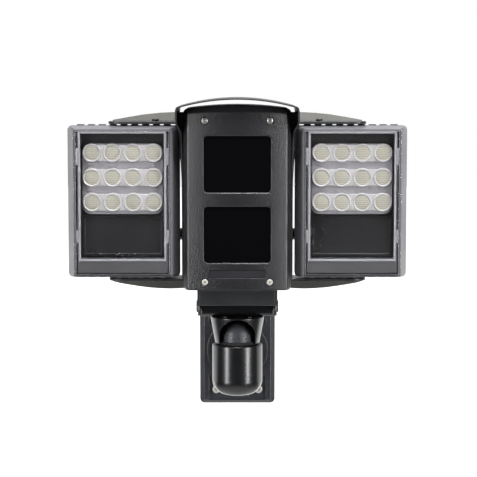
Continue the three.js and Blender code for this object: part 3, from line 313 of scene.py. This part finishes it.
def polycarbonate_painted_sheen():
    """The cover's side walls and rounded bends: the same polycarbonate, with a grey colour that is
    painted sheen and painted highlight lines for the light the clear walls catch at a slant. They
    let a cloudy light through, and the index is set low."""
    material, tree, shader = surface("polycarbonate_painted_sheen", "#707075", 0.36, {
        "IOR": 1.3, "Transmission Weight": 0.35,
    })
    coat_texture(tree, shader, 6.0, 0.01, (0.3, 0.42), ("#6c6c71", "#757579"))
    pass_light(tree, shader, (0.7, 0.7, 0.7, 1.0))
    return material


def frosted_polycarbonate():
    """Frosted ribs and clips moulded inside the cover: they glow a cool pale grey."""
    material, tree, shader = surface("frosted_polycarbonate", "#6c6c72", 0.3, {
        "IOR": 1.58, "Coat Weight": 0.4, "Coat Roughness": 0.1,
    })
    coat_texture(tree, shader, 1.2, 0.006, (0.3, 0.4), ("#68686e", "#727278"))
    return material


def milky_optic():
    """Optical silicone plate of the emitter array: milky, slightly lavender, wet-looking."""
    material, tree, shader = surface("milky_optical_silicone", "#848386", 0.34, {
        "IOR": 1.46, "Coat Weight": 0.2, "Coat Roughness": 0.2, "Subsurface Weight": 0.25,
        "Subsurface Scale": 2.5 * MM, "Subsurface Radius": (1, 1, 1),
    })
    coat_texture(tree, shader, 2.2, 0.03, (0.22, 0.34), ("#828184", "#888789"))
    return material


def array_plate():
    """The plate between the rows of lenses: the same silicone, thin over a grey board."""
    material, tree, shader = surface("thin_silicone_plate", "#76747a", 0.34, {
        "IOR": 1.46, "Coat Weight": 0.2, "Coat Roughness": 0.2,
    })
    coat_texture(tree, shader, 3.0, 0.03, (0.25, 0.36), ("#747278", "#79777c"))
    return material


def emitter_optic():
    """Inside of a lens: clear silicone over a pale phosphor, with cross ribs 2.6 mm apart."""
    material, tree, shader = surface("phosphor_optic", "#77756b", 0.34, {
        "IOR": 1.46, "Coat Weight": 0.25, "Coat Roughness": 0.2,
    })
    place = add(tree, "TexCoord").outputs["Object"]
    ribs = add(tree, "TexWave", {
        "Vector": place, "Scale": per_metre(2.6) * math.tau / 20, "Distortion": 0.6, "Detail": 1.0,
        "Detail Scale": 1.5,
    }, bands_direction="Z")
    relief = add(tree, "Bump", {"Height": ribs.outputs["Fac"], "Distance": 0.06 * MM})
    tree.links.new(relief.outputs["Normal"], shader.inputs["Normal"])
    tone = add(tree, "Mix", {
        "Factor": ribs.outputs["Fac"], "A": linear("#6b695f"), "B": linear("#82807a"),
    }, data_type="RGBA")
    tree.links.new(tone.outputs["Result"], shader.inputs["Base Color"])
    return material


def solder_mask():
    """Green solder mask on the boards inside: satin, with a woven glass shadow."""
    material, tree, shader = surface("green_solder_mask", "#1f5a38", 0.4, {"IOR": 1.5})
    coat_texture(tree, shader, 0.9, 0.02, (0.34, 0.46), ("#1b5033", "#25663f"))
    return material


def zinc_sheet():
    """Zinc-plated steel chassis inside the housing: pale, slightly cloudy metal."""
    material, tree, shader = surface("zinc_plated_steel", "#9b9c9c", 0.35, {"Metallic": 0.9})
    coat_texture(tree, shader, 6.0, 0.01, (0.28, 0.45), ("#8d8f90", "#a9aaaa"))
    return material


def zinc_flake():
    """Zinc-flake coat on the wall screws and the lower bezel screws: matt light grey."""
    material, tree, shader = surface("zinc_flake_coat", "#aeaba5", 0.5, {"Metallic": 0.4})
    coat_texture(tree, shader, 0.9, 0.02, (0.42, 0.56), ("#a3a09a", "#b9b6b0"))
    return material


GLOSS = gloss_enamel()
SATIN = satin_enamel()
SHEET = powder_coat()
WING = olive_powder_coat()
NYLON = grained_nylon()
ACRYLIC = tinted_acrylic()
LENS_BLACK = lens_black()
LABEL = label_foil()
RUBBER = rubber()
HUB = hub_rubber()
STEEL = stainless()
OXIDE = black_oxide()
SINK = anodised_sink()
TRAY = tray_black()
TRAY_RIM_PAINTED_LIGHT = lit_tray_rim()
CLEAR = clear_polycarbonate()
COVER_WALL_SHEEN = polycarbonate_painted_sheen()
FROSTED = frosted_polycarbonate()
MILKY = milky_optic()
PLATE = array_plate()
OPTIC = emitter_optic()
BOARD = solder_mask()
ZINC = zinc_sheet()
ZINC_BRIGHT = zinc_flake()


# ------------------------------------------------------------------ modelling helpers

def mode(name):
    bpy.ops.object.mode_set(mode=name)


def only(piece):
    """Makes one piece the only selected and active object, in object mode."""
    if bpy.context.view_layer.objects.active and bpy.context.object.mode != "OBJECT":
        mode("OBJECT")
    bpy.ops.object.select_all(action="DESELECT")
    piece.select_set(True)
    bpy.context.view_layer.objects.active = piece


def settle(piece):
    """Puts a piece's place, turn and size into its mesh."""
    only(piece)
    bpy.ops.object.transform_apply(location=True, rotation=True, scale=True)
    return piece


def named(name):
    """Names the object that an operator has just added, and settles it."""
    piece = bpy.context.object
    piece.name = name
    piece.data.name = name
    return settle(piece)


def pick(piece, kind, rule):
    """Selects a piece's faces (by middle and normal) or edges (by both ends), in edit mode."""
    only(piece)
    mode("EDIT")
    bpy.ops.mesh.select_mode(type=kind)
    bpy.ops.mesh.select_all(action="DESELECT")
    mode("OBJECT")
    mesh = piece.data
    if kind == "FACE":
        for face in mesh.polygons:
            face.select = rule(face.center, face.normal)
    else:
        for edge in mesh.edges:
            edge.select = rule(*(mesh.vertices[i].co for i in edge.vertices))
    mode("EDIT")


def block(name, low, high):
    """A box between two corners."""
    low, high = Vector(low), Vector(high)
    bpy.ops.mesh.primitive_cube_add(size=1, location=(low + high) / 2, scale=high - low)
    return named(name)


def bar(name, start, end, radius, sides=48, end_radius=None):
    """A round bar between two points, or a cone when the end has its own radius."""
    start, end = Vector(start), Vector(end)
    bpy.ops.mesh.primitive_cone_add(
        vertices=sides, radius1=radius, radius2=radius if end_radius is None else end_radius,
        depth=(end - start).length, location=(start + end) / 2,
        rotation=(end - start).to_track_quat("Z", "Y").to_euler(),
    )
    return named(name)


def modify(piece, kind, **settings):
    """Adds a modifier with its settings and applies it."""
    only(piece)
    modifier = piece.modifiers.new(kind.lower(), kind)
    for name, value in settings.items():
        setattr(modifier, name, value)
    bpy.ops.object.modifier_apply(modifier=modifier.name)
    return piece


def combine(piece, tool, operation):
    """Adds a closed tool to a piece or cuts it out, and removes the tool."""
    modify(piece, "BOOLEAN", object=tool, operation=operation, solver="EXACT")
    bpy.data.objects.remove(tool)
    return piece


def round_edges(piece, width, segments=3, angle=30):
    """Rounds every edge sharper than an angle, and shades the piece smooth between sharp edges."""
    modify(
        piece, "BEVEL", width=width * MM, segments=segments, limit_method="ANGLE",
        angle_limit=math.radians(angle), use_clamp_overlap=False,
    )
    return smooth(piece)


def smooth(piece, angle=38):
    """Smooth shading that keeps broad faces flat."""
    only(piece)
    bpy.ops.object.shade_smooth_by_angle(angle=math.radians(angle))
    return modify(piece, "WEIGHTED_NORMAL", keep_sharp=True)


def paint(piece, *materials):
    piece.data.materials.clear()
    for material in materials:
        piece.data.materials.append(material)


def fit(piece, body, slot, material, *stands_for):
    """Gives a piece its body, its material and the nodes it stands for. The slot argument is not
    used.
    """
    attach(piece, body)
    if stands_for:
        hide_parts(*stands_for)
    if material:
        paint(piece, material)
    return piece


def merged(node):
    """A copy of a CAD node with its facets merged into clean faces."""
    piece = bpy.data.objects.new(node + "_rounded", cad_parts[node].data.copy())
    bpy.context.scene.collection.objects.link(piece)
    only(piece)
    mode("EDIT")
    bpy.ops.mesh.select_mode(type="VERT")
    bpy.ops.mesh.select_all(action="SELECT")
    bpy.ops.mesh.remove_doubles(threshold=2e-6)
    bpy.ops.mesh.dissolve_limited(angle_limit=math.radians(0.8))
    mode("OBJECT")
    return piece


def refined(node, body, slot, material, width, segments=2, angle=30):
    """A merged copy of a CAD node with its edges rounded."""
    piece = round_edges(merged(node), width, segments, angle)
    return fit(piece, body, slot, material, node)


# ------------------------------------------------------------------ fasteners

def socket_screw(node, body, slot, material, out, head_height, shank_radius, socket, dome):
    """A button-head screw with a hexagon socket. out is the way its head faces; the numbers after
    it are in mm: head height, shank radius, socket radius and the rounding of the head."""
    low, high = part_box(node)
    out = Vector(out)
    size = high - low
    length = abs(size.dot(out))
    across = sorted(abs(v) for v in size - out * size.dot(out))[-1]
    radius = across / 2
    tip = (low + high) / 2 + out * length / 2
    head = bar(node + "_button", (0, 0, -head_height * MM), (0, 0, 0), radius, 32)
    pick(head, "FACE", lambda middle, normal: normal.z < -0.9)
    bpy.ops.mesh.inset(thickness=radius - shank_radius * MM)
    bpy.ops.mesh.extrude_region_move(
        TRANSFORM_OT_translate={"value": (0, 0, head_height * MM - length)}
    )
    pick(head, "EDGE", lambda a, b: min(a.z, b.z) > -SAME_PLACE)
    bpy.ops.mesh.bevel(offset=dome * MM, segments=5, affect="EDGES")
    mode("OBJECT")
    drive = bar("drive", (0, 0, -head_height * 0.6 * MM), (0, 0, 1 * MM), socket * MM, 6)
    combine(head, drive, "DIFFERENCE")
    modify(head, "BEVEL", width=0.12 * MM, segments=2, limit_method="ANGLE",
           angle_limit=math.radians(50), use_clamp_overlap=False)
    head.rotation_euler = out.to_track_quat("Z", "Y").to_euler()
    head.location = tip
    settle(head)
    smooth(head)
    return fit(head, body, slot, material, node)


def hexagon_bolt(node, body, side):
    """A hexagon-head bolt with a washer flange, pointing out along X."""
    low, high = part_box(node)
    outer, inner = (high.x, low.x) if side > 0 else (low.x, high.x)
    y, z = (low.y + high.y) / 2, (low.z + high.z) / 2
    flange_radius = (high.y - low.y) / 2
    seat = outer - side * 4.4 * MM
    head = bar(node + "_hexagon", (seat + side * 1.0 * MM, y, z), (outer, y, z), 7.2 * MM, 6)
    modify(head, "BEVEL", width=0.5 * MM, segments=2, limit_method="ANGLE",
           angle_limit=math.radians(30))
    flange = bar("flange", (seat, y, z), (seat + side * 1.2 * MM, y, z), flange_radius, 32)
    shank = bar("shank", (inner, y, z), (seat + side * 0.5 * MM, y, z), 2.9 * MM, 24)
    combine(head, flange, "UNION")
    combine(head, shank, "UNION")
    smooth(head, 30)
    return fit(head, body, "dark_steel", OXIDE, node)


# ------------------------------------------------------------------ wall bracket

def build_wall_bracket():
    body = "wall_bracket"
    refined("wall_gasket", body, "rubber", RUBBER, 0.3)
    refined("wall_plate", body, "cast_black", SATIN, 0.9, 3)
    refined("arm_collar", body, "rubber", RUBBER, 0.8, 3)
    for level, _ in LEVELS:
        for name, _ in SIDES:
            socket_screw(f"wall_screw_{level}_{name}", body, "steel", ZINC_BRIGHT, (0, -1, 0),
                         3.6, 2.6, 2.4, 1.6)

    # arm: an upright barrel with a rounded foot, carried by a round bar from the wall
    low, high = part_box("bracket_arm")
    radius = high.x
    pan_y = low.y + radius
    barrel = bar("bracket_arm_barrel", (0, pan_y, low.z), (0, pan_y, high.z), radius, 96)
    pick(barrel, "EDGE", lambda a, b: max(a.z, b.z) < low.z + SAME_PLACE)
    bpy.ops.mesh.bevel(offset=BARREL_FOOT_RADIUS * MM, segments=14, affect="EDGES")
    pick(barrel, "EDGE", lambda a, b: min(a.z, b.z) > high.z - SAME_PLACE)
    bpy.ops.mesh.bevel(offset=1.2 * MM, segments=4, affect="EDGES")
    mode("OBJECT")
    arm = bar("arm", (0, pan_y, 0), (0, high.y, 0), ARM_RADIUS * MM, 72)
    combine(barrel, arm, "UNION")
    smooth(barrel, 35)
    fit(barrel, body, "cast_black", GLOSS, "bracket_arm")

    # hub: a dome on a short cylinder, with two rings of small pips above the toothed ring
    low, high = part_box("pan_hub")
    radius = high.x
    dome_z = high.z - radius
    bpy.ops.mesh.primitive_uv_sphere_add(
        segments=72, ring_count=36, radius=radius, location=(0, pan_y, dome_z)
    )
    hub = named("pan_hub_dome")
    pick(hub, "FACE", lambda middle, normal: True)
    bpy.ops.mesh.bisect(plane_co=(0, pan_y, dome_z), plane_no=(0, 0, 1), clear_inner=True)
    pick(hub, "EDGE", lambda a, b: max(a.z, b.z) < dome_z + SAME_PLACE)
    bpy.ops.mesh.extrude_region_move(TRANSFORM_OT_translate={"value": (0, 0, low.z - dome_z)})
    bpy.ops.mesh.edge_face_add()
    bpy.ops.mesh.select_all(action="SELECT")
    bpy.ops.mesh.normals_make_consistent(inside=False)
    mode("OBJECT")
    smooth(hub, 40)
    fit(hub, body, "moulded_black", HUB, "pan_hub")

    pips = []
    for row, z in enumerate(PIP_ROWS):
        for i in range(PIPS):
            turn = 2 * math.pi * (i + 0.5 * row) / PIPS
            reach = math.sqrt(radius ** 2 - max(z * MM - dome_z, 0) ** 2)
            bpy.ops.mesh.primitive_ico_sphere_add(
                subdivisions=1, radius=PIP_RADIUS * MM,
                location=(reach * math.sin(turn), pan_y - reach * math.cos(turn), z * MM),
            )
            pips.append(bpy.context.object)
    only(pips[0])
    for pip in pips:
        pip.select_set(True)
    bpy.ops.object.join()
    grip = named("pan_hub_pips")
    only(grip)
    bpy.ops.object.shade_smooth()
    fit(grip, body, "moulded_black", HUB)

    # toothed ring round the hub's foot
    refined("hub_ring", body, "rubber", RUBBER, 0.25, 2)


# ------------------------------------------------------------------ pan head

def build_pan_head():
    body = "pan_head"
    wall = CUP_WALL * MM
    low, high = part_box("clamp_cup")
    top = high.x
    foot = CUP_FOOT_RADIUS * MM
    pan_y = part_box("tilt_block")[0].y + PAN_AXIS_TO_BLOCK * MM
    centre = Vector((0, pan_y, 0))
    up = Vector((0, 0, 1))
    cup = bar("clamp_cup_shell", centre + up * low.z, centre + up * high.z, foot, 96, top)
    pick(cup, "EDGE", lambda a, b: min(a.z, b.z) > high.z - SAME_PLACE)
    bpy.ops.mesh.bevel(offset=1.6 * MM, segments=4, affect="EDGES")
    mode("OBJECT")
    slope = (top - foot) / (high.z - low.z)
    hollow = bar(
        "hollow", centre + up * (low.z - 1 * MM), centre + up * (high.z - wall),
        foot - wall - slope * MM, 96, top - wall - slope * wall,
    )
    combine(cup, hollow, "DIFFERENCE")

    # arched opening: a block with a round top, cut through the front wall only
    arch_half, spring = ARCH_HALF_WIDTH * MM, ARCH_SPRING * MM
    arch = block("arch", (-arch_half, pan_y - 50 * MM, low.z - 2 * MM), (arch_half, pan_y, spring))
    crown = bar("crown", (0, pan_y - 50 * MM, spring), (0, pan_y, spring), arch_half, 96)
    combine(arch, crown, "UNION")
    combine(cup, arch, "DIFFERENCE")
    for _, side in SIDES:
        x, y = side * CUP_BOLT_X * MM, pan_y - CUP_BOLT_Y * MM
        hole = bar("hole", (x, y, high.z - 8 * MM), (x, y, high.z + 5 * MM), 2.3 * MM, 24)
        combine(cup, hole, "DIFFERENCE")
    round_edges(cup, 0.5, 3, 40)
    fit(cup, body, "cast_black", GLOSS, "clamp_cup")

    refined("tilt_block", body, "cast_black", GLOSS, 0.8, 3)
    for name, side in SIDES:
        refined(f"tilt_washer_{name}", body, "steel", STEEL, 0.2)
        socket_screw(f"tilt_bolt_{name}", body, "dark_steel", OXIDE, (side, 0, 0),
                     1.6, 4, 2.5, 1.0)
        socket_screw(f"cup_bolt_{name}", body, "steel", OXIDE, (0, 0, 1), 1.8, 2, 1.2, 0.6)


# ------------------------------------------------------------------ camera head

def build_housing():
    body = "camera_head"
    refined("housing_shell", body, "cast_black", SATIN, 0.6, 3)
    refined("rear_cover", body, "cast_black", SATIN, 0.8, 3)

    # bezel: the outline of its face is rounded more than its other edges
    bezel = merged("front_bezel")
    low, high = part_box("front_bezel")
    pick(bezel, "EDGE", lambda a, b: max(a.y, b.y) < low.y + 0.1 * MM and (
        min(abs(a.x), abs(b.x)) > 54 * MM or min(a.z, b.z) > high.z - 12 * MM
        or max(a.z, b.z) < low.z + 4 * MM
    ))
    bpy.ops.mesh.bevel(offset=0.9 * MM, segments=4, affect="EDGES")
    mode("OBJECT")
    round_edges(bezel, 0.4, 3, 25)
    fit(bezel, body, "moulded_black", NYLON, "front_bezel")

    refined("label_plate", body, "gloss_black", LABEL, 0.25)

    # tilt channel: the free edge of its front plate is rolled over
    channel = merged("tilt_channel")
    low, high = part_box("tilt_channel")
    pick(channel, "EDGE", lambda a, b: abs(a.z - b.z) < 0.01 * MM and abs(a.x - b.x) > 60 * MM
         and abs(a.z - CHANNEL_FOLD_Z * MM) < 0.1 * MM and max(a.y, b.y) < low.y + 2 * MM)
    bpy.ops.mesh.bevel(offset=1.6 * MM, segments=4, affect="EDGES")
    mode("OBJECT")
    round_edges(channel, 0.5, 3)
    fit(channel, body, "sheet_black", SHEET, "tilt_channel")
    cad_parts["bezel_gasket"].material_slots[0].material = RUBBER
    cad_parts["chassis_plate"].material_slots[0].material = ZINC
    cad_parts["control_board"].material_slots[0].material = BOARD
    for level, _ in LEVELS:
        refined(f"window_{level}", body, "gloss_black", ACRYLIC, 0.3, 2)
        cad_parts[f"camera_module_{level}"].material_slots[0].material = LENS_BLACK
        for name, _ in SIDES:
            socket_screw(f"bezel_screw_{level}_{name}", body, "steel",
                         STEEL if level == "upper" else ZINC_BRIGHT, (0, -1, 0),
                         2, 1.7, 1.5, 1.2)

    # cable gland: hexagon base, ribbed dome nut and a round mouth
    low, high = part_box("housing_gland")
    x, z = (low.x + high.x) / 2, (low.z + high.z) / 2
    base_y = high.y - 15 * MM
    gland = bar("housing_gland_nut", (x, low.y, z), (x, base_y + 1 * MM, z), 8 * MM, 48)
    hexagon = bar("hexagon", (x, base_y, z), (x, base_y + 6 * MM, z), 12.5 * MM, 6)
    modify(hexagon, "BEVEL", width=0.6 * MM, segments=2, limit_method="ANGLE",
           angle_limit=math.radians(30))
    dome = bar("dome", (x, base_y + 5 * MM, z), (x, high.y, z), 10.2 * MM, 48)
    pick(dome, "EDGE", lambda a, b: min(a.y, b.y) > high.y - SAME_PLACE)
    bpy.ops.mesh.bevel(offset=3.5 * MM, segments=5, affect="EDGES")
    mode("OBJECT")
    mouth = bar("mouth", (x, low.y - 5 * MM, z), (x, high.y + 5 * MM, z), 4 * MM, 32)
    for part in (hexagon, dome):
        combine(gland, part, "UNION")
    combine(gland, mouth, "DIFFERENCE")
    smooth(gland, 35)
    fit(gland, body, "rubber", RUBBER, "housing_gland")


def build_sunshield_and_wings():
    body = "camera_head"
    refined("sunshield", body, "sheet_black", SHEET, 0.35, 2, 40)
    for name, side in SIDES:
        socket_screw(f"shield_screw_{name}", body, "dark_steel", OXIDE, (side, 0, 0),
                     1.6, 2, 1.4, 0.8)
        wing = refined(f"wing_{name}", body, "sheet_grey", WING, 0.4, 2, 25)
        # painted shade: the wing is one sheet in one olive coat, and its flat shelves take the
        # black sheet coat for the shadow they lie in
        wing.data.materials.append(SHEET)
        for face in wing.data.polygons:
            if any(abs(face.center.z - z * MM) < SHELF_HALF * MM for z in SHELF_LEVELS):
                face.material_index = 1
        hexagon_bolt(f"wing_bolt_{name}", body, side)
        for level, up in LEVELS:
            socket_screw(f"pivot_screw_{level}_{name}", body, "dark_steel", OXIDE, (0, 0, up),
                         2.6, 2.5, 1.8, 1.2)


# ------------------------------------------------------------------ floodlights

ROWS = 3
COLUMNS = 4
PITCH_X = 24.3 * MM
PITCH_Z = 29.3 * MM
LENS_RADIUS = 11.7 * MM
LENS_DEPTH = 4.2 * MM
OPTIC_RADIUS = 8.6 * MM
WEB_HALF_HEIGHT = 9.8 * MM
WEB_STEP = 1.3 * MM     # how far the web lies behind the lens rims


def lens_cup(centre, front):
    """One lens: a raised rim round a sunk, domed and ribbed optic, facing -Y."""
    radius = LENS_RADIUS
    back = front + LENS_DEPTH
    cup = bar("lens_cup", (centre.x, back, centre.z), (centre.x, front, centre.z), radius, 40,
              radius - 0.9 * MM)
    pick(cup, "FACE", lambda middle, normal: normal.y < -0.9)
    bpy.ops.mesh.inset(thickness=1.5 * MM)
    bpy.ops.mesh.extrude_region_move(TRANSFORM_OT_translate={"value": (0, 1.1 * MM, 0)})
    bpy.ops.transform.resize(value=(0.93, 1, 0.93))
    bpy.ops.mesh.inset(thickness=2.4 * MM)
    bpy.ops.transform.translate(value=(0, -0.4 * MM, 0))
    bpy.ops.mesh.inset(thickness=2.6 * MM)
    bpy.ops.transform.translate(value=(0, -0.3 * MM, 0))
    pick(cup, "EDGE", lambda a, b: max(a.y, b.y) < front + SAME_PLACE)
    bpy.ops.mesh.bevel(offset=0.6 * MM, segments=3, affect="EDGES")
    mode("OBJECT")
    paint(cup, PLATE, MILKY, OPTIC)
    for face in cup.data.polygons:
        reach = math.hypot(face.center.x - centre.x, face.center.z - centre.z)
        sunk = front + 0.3 * MM < face.center.y < back - 1 * MM
        face.material_index = 2 if reach < OPTIC_RADIUS and sunk else 1
    return cup


def build_lens_array(name, body):
    """Milky plate with three scalloped bars of four lenses."""
    node = f"lens_array_{name}"
    low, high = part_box(node)
    plate_front = high.y - 4 * MM
    plate = block(node + "_optics", (low.x, plate_front, low.z), high)
    pick(plate, "EDGE", lambda a, b: abs(a.y - b.y) > 1 * MM)
    bpy.ops.mesh.bevel(offset=10 * MM, segments=10, affect="EDGES")
    pick(plate, "EDGE", lambda a, b: max(a.y, b.y) < plate_front + SAME_PLACE)
    bpy.ops.mesh.bevel(offset=1.2 * MM, segments=4, affect="EDGES")
    mode("OBJECT")
    paint(plate, PLATE, MILKY, OPTIC)
    centre = Vector(((low.x + high.x) / 2, 0, (low.z + high.z) / 2 + 1.6 * MM))
    parts = []
    for row in range(ROWS):
        z = centre.z + ((ROWS - 1) / 2 - row) * PITCH_Z
        reach = PITCH_X * (COLUMNS - 1) / 2
        web = block(
            "web", (centre.x - reach, low.y + WEB_STEP, z - WEB_HALF_HEIGHT),
            (centre.x + reach, plate_front + 0.5 * MM, z + WEB_HALF_HEIGHT),
        )
        pick(web, "EDGE", lambda a, b: max(a.y, b.y) < low.y + WEB_STEP + 0.1 * MM)
        bpy.ops.mesh.bevel(offset=0.9 * MM, segments=3, affect="EDGES")
        mode("OBJECT")
        paint(web, PLATE, MILKY, OPTIC)
        for face in web.data.polygons:
            face.material_index = 1
        parts.append(web)
        for column in range(COLUMNS):
            x = centre.x + (column - (COLUMNS - 1) / 2) * PITCH_X
            parts.append(lens_cup(Vector((x, 0, z)), low.y))
    only(plate)
    for part in parts:
        part.select_set(True)
    bpy.ops.object.join()
    only(plate)
    bpy.ops.object.shade_smooth_by_angle(angle=math.radians(50))
    fit(plate, body, "milky_lens", None, node)


def picture_frame(name, low, high, bar_width, body, slot, material, rounding):
    """A flat frame between two corners, facing -Y: a plate whose middle is cut away."""
    low, high = Vector(low), Vector(high)
    rim = block(name, low, high)
    inner = Vector((bar_width, -5 * MM, bar_width))
    middle = block("middle", low + inner, high - inner)
    combine(rim, middle, "DIFFERENCE")
    round_edges(rim, rounding, 3)
    return fit(rim, body, slot, material)


def build_lamp(name, side):
    body = f"{name}_lamp"
    centre = Vector((side * LAMP_X, 0, LAMP_Z)) * MM

    def at(x, y, z):
        return Vector((centre.x + x * MM, y * MM, centre.z + z * MM))

    refined(f"lamp_body_{name}", body, "heat_sink", SINK, 0.4, 2)
    refined(f"lamp_gasket_{name}", body, "rubber", RUBBER, 0.2)
    cover = refined(f"lamp_cover_{name}", body, "clear_cover", CLEAR, 0.8, 4, 12)
    # the side walls and rounded bends take the grey copy of the polycarbonate: painted sheen and
    # painted highlight lines
    cover.data.materials.append(COVER_WALL_SHEEN)
    for face in cover.data.polygons:
        if abs(face.normal.y) < 0.97:
            face.material_index = 1
    mask = refined(f"lamp_mask_{name}", body, "lamp_mask", TRAY, 0.5, 3)
    mask.data.materials.append(TRAY_RIM_PAINTED_LIGHT)
    mask_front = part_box(f"lamp_mask_{name}")[0].y
    # the front faces and side walls of the tray take the paler copy: painted light
    for face in mask.data.polygons:
        if face.center.y < mask_front + 0.4 * MM or abs(face.center.x - centre.x) > 52 * MM:
            face.material_index = 1
    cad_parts[f"led_board_{name}"].material_slots[0].material = BOARD
    refined(f"lamp_gland_{name}", body, "rubber", RUBBER, 0.5, 3)
    build_lens_array(name, body)

    # frosted lip round the opening of the tray, just behind the cover's face
    picture_frame(f"lamp_lip_{name}", at(-52.0, -212.3, -69.2), at(52.0, -210.2, 84.6),
                  2.4 * MM, body, "clear_cover", FROSTED, 0.4)

    # clips between the lip and the cover's side walls
    for edge in (-1, 1):
        for level, span in (("upper", (45, 65)), ("lower", (-47.5, -32))):
            x = sorted((edge * 52.3, edge * 54.8))
            clip = block(
                f"lamp_clip_{level}_{'inner' if edge * side < 0 else 'outer'}_{name}",
                at(x[0], -212.0, span[0]), at(x[1], -204, span[1]),
            )
            round_edges(clip, 0.5, 3)
            fit(clip, body, "clear_cover", FROSTED)

    # tray floor below the lenses: a raised border round a sunk panel
    panel = block(f"lamp_panel_{name}", at(-48.8, -199.4, -64.8), at(48.8, -197.2, -15.6))
    pick(panel, "FACE", lambda middle, normal: normal.y < -0.9)
    bpy.ops.mesh.inset(thickness=3.6 * MM)
    bpy.ops.mesh.extrude_region_move(TRANSFORM_OT_translate={"value": (0, 1.5 * MM, 0)})
    round_edges(panel, 0.4, 3)
    fit(panel, body, "lamp_mask", TRAY)


# ------------------------------------------------------------------ stage, lights and camera

TARGET = Vector((1.42, -215.0, 165.7)) * MM
ELEVATION = math.radians(5.4)
DISTANCE = 2.0


def aim(thing, target):
    thing.rotation_euler = (target - thing.location).to_track_quat("-Z", "Y").to_euler()


def softbox(name, azimuth, elevation, distance, size, watts):
    """A soft rectangular light aimed at the object; azimuth 0 is in front of it."""
    light = bpy.data.lights.new(name, "AREA")
    light.shape = "RECTANGLE"
    light.size, light.size_y = size
    light.energy = watts
    lamp = bpy.data.objects.new(name, light)
    a, e = math.radians(azimuth), math.radians(elevation)
    lamp.location = TARGET + distance * Vector((
        math.sin(a) * math.cos(e), -math.cos(a) * math.cos(e), math.sin(e),
    ))
    bpy.context.scene.collection.objects.link(lamp)
    aim(lamp, TARGET)


def build_studio():
    scene = bpy.context.scene
    scene.view_settings.view_transform = "Standard"

    # white surround behind the object, dark room in front of it, some light off the ground;
    # the camera sees plain white
    world = bpy.data.worlds.new("studio")
    scene.world = world
    world.use_nodes = True
    tree = world.node_tree
    tree.nodes.clear()
    way = add(tree, "TexCoord")
    axes = add(tree, "SeparateXYZ", {"Vector": way.outputs["Generated"]})
    glow = add(tree, "MapRange", {
        "Value": axes.outputs["Y"], "From Min": 0.2, "From Max": 0.75,
        "To Min": 0.03, "To Max": 1.0,
    }, interpolation_type="SMOOTHSTEP")
    sweep = add(tree, "MapRange", {
        "Value": axes.outputs["Z"], "From Min": -0.3, "From Max": -0.85,
        "To Min": 0.0, "To Max": 1.0,
    }, interpolation_type="SMOOTHSTEP")
    light = add(tree, "Math", {
        0: glow.outputs["Result"], 1: sweep.outputs["Result"],
    }, operation="MAXIMUM")
    room = add(tree, "Background", {"Strength": light.outputs["Value"]})
    room.inputs["Color"].default_value = (1, 1, 1, 1)
    white = add(tree, "Background", {"Color": (1, 1, 1, 1), "Strength": 1.0})
    path = add(tree, "LightPath")
    mix = add(tree, "MixShader", {
        0: path.outputs["Is Camera Ray"], 1: room.outputs["Background"],
        2: white.outputs["Background"],
    })
    add(tree, "OutputWorld", {"Surface": mix.outputs["Shader"]})

    softbox("strip_left", -50, 4, 1.7, (0.4, 1.4), 28)
    softbox("strip_right", 50, 4, 1.7, (0.4, 1.4), 31)
    softbox("overhead", 14, 66, 1.8, (0.9, 0.4), 70)

    # pale floor, which starts behind the wall plane so that it throws no light up from below
    bpy.ops.mesh.primitive_plane_add(size=1, location=(0, 4.35, -0.32))
    floor = bpy.context.object
    floor.name = "studio_floor"
    floor.scale = (12, 8, 1)
    paper, tree, shader = surface("pale_paper_floor", "#f7f7f6", 0.9)
    coat_texture(tree, shader, 30.0, 0.02, (0.86, 0.94), ("#f4f4f3", "#fafaf9"))
    shader.inputs["Emission Color"].default_value = (1, 1, 1, 1)
    shader.inputs["Emission Strength"].default_value = 1.0
    paint(floor, paper)

    view = bpy.data.cameras.new("camera")
    view.lens = 127.5
    view.sensor_width = 36
    camera = bpy.data.objects.new("camera", view)
    camera.location = TARGET + DISTANCE * Vector((0, -math.cos(ELEVATION), math.sin(ELEVATION)))
    scene.collection.objects.link(camera)
    aim(camera, TARGET)
    scene.camera = camera


build_wall_bracket()
build_pan_head()
build_housing()
build_sunshield_and_wings()
for lamp_name, lamp_side in SIDES:
    build_lamp(lamp_name, lamp_side)
build_studio()
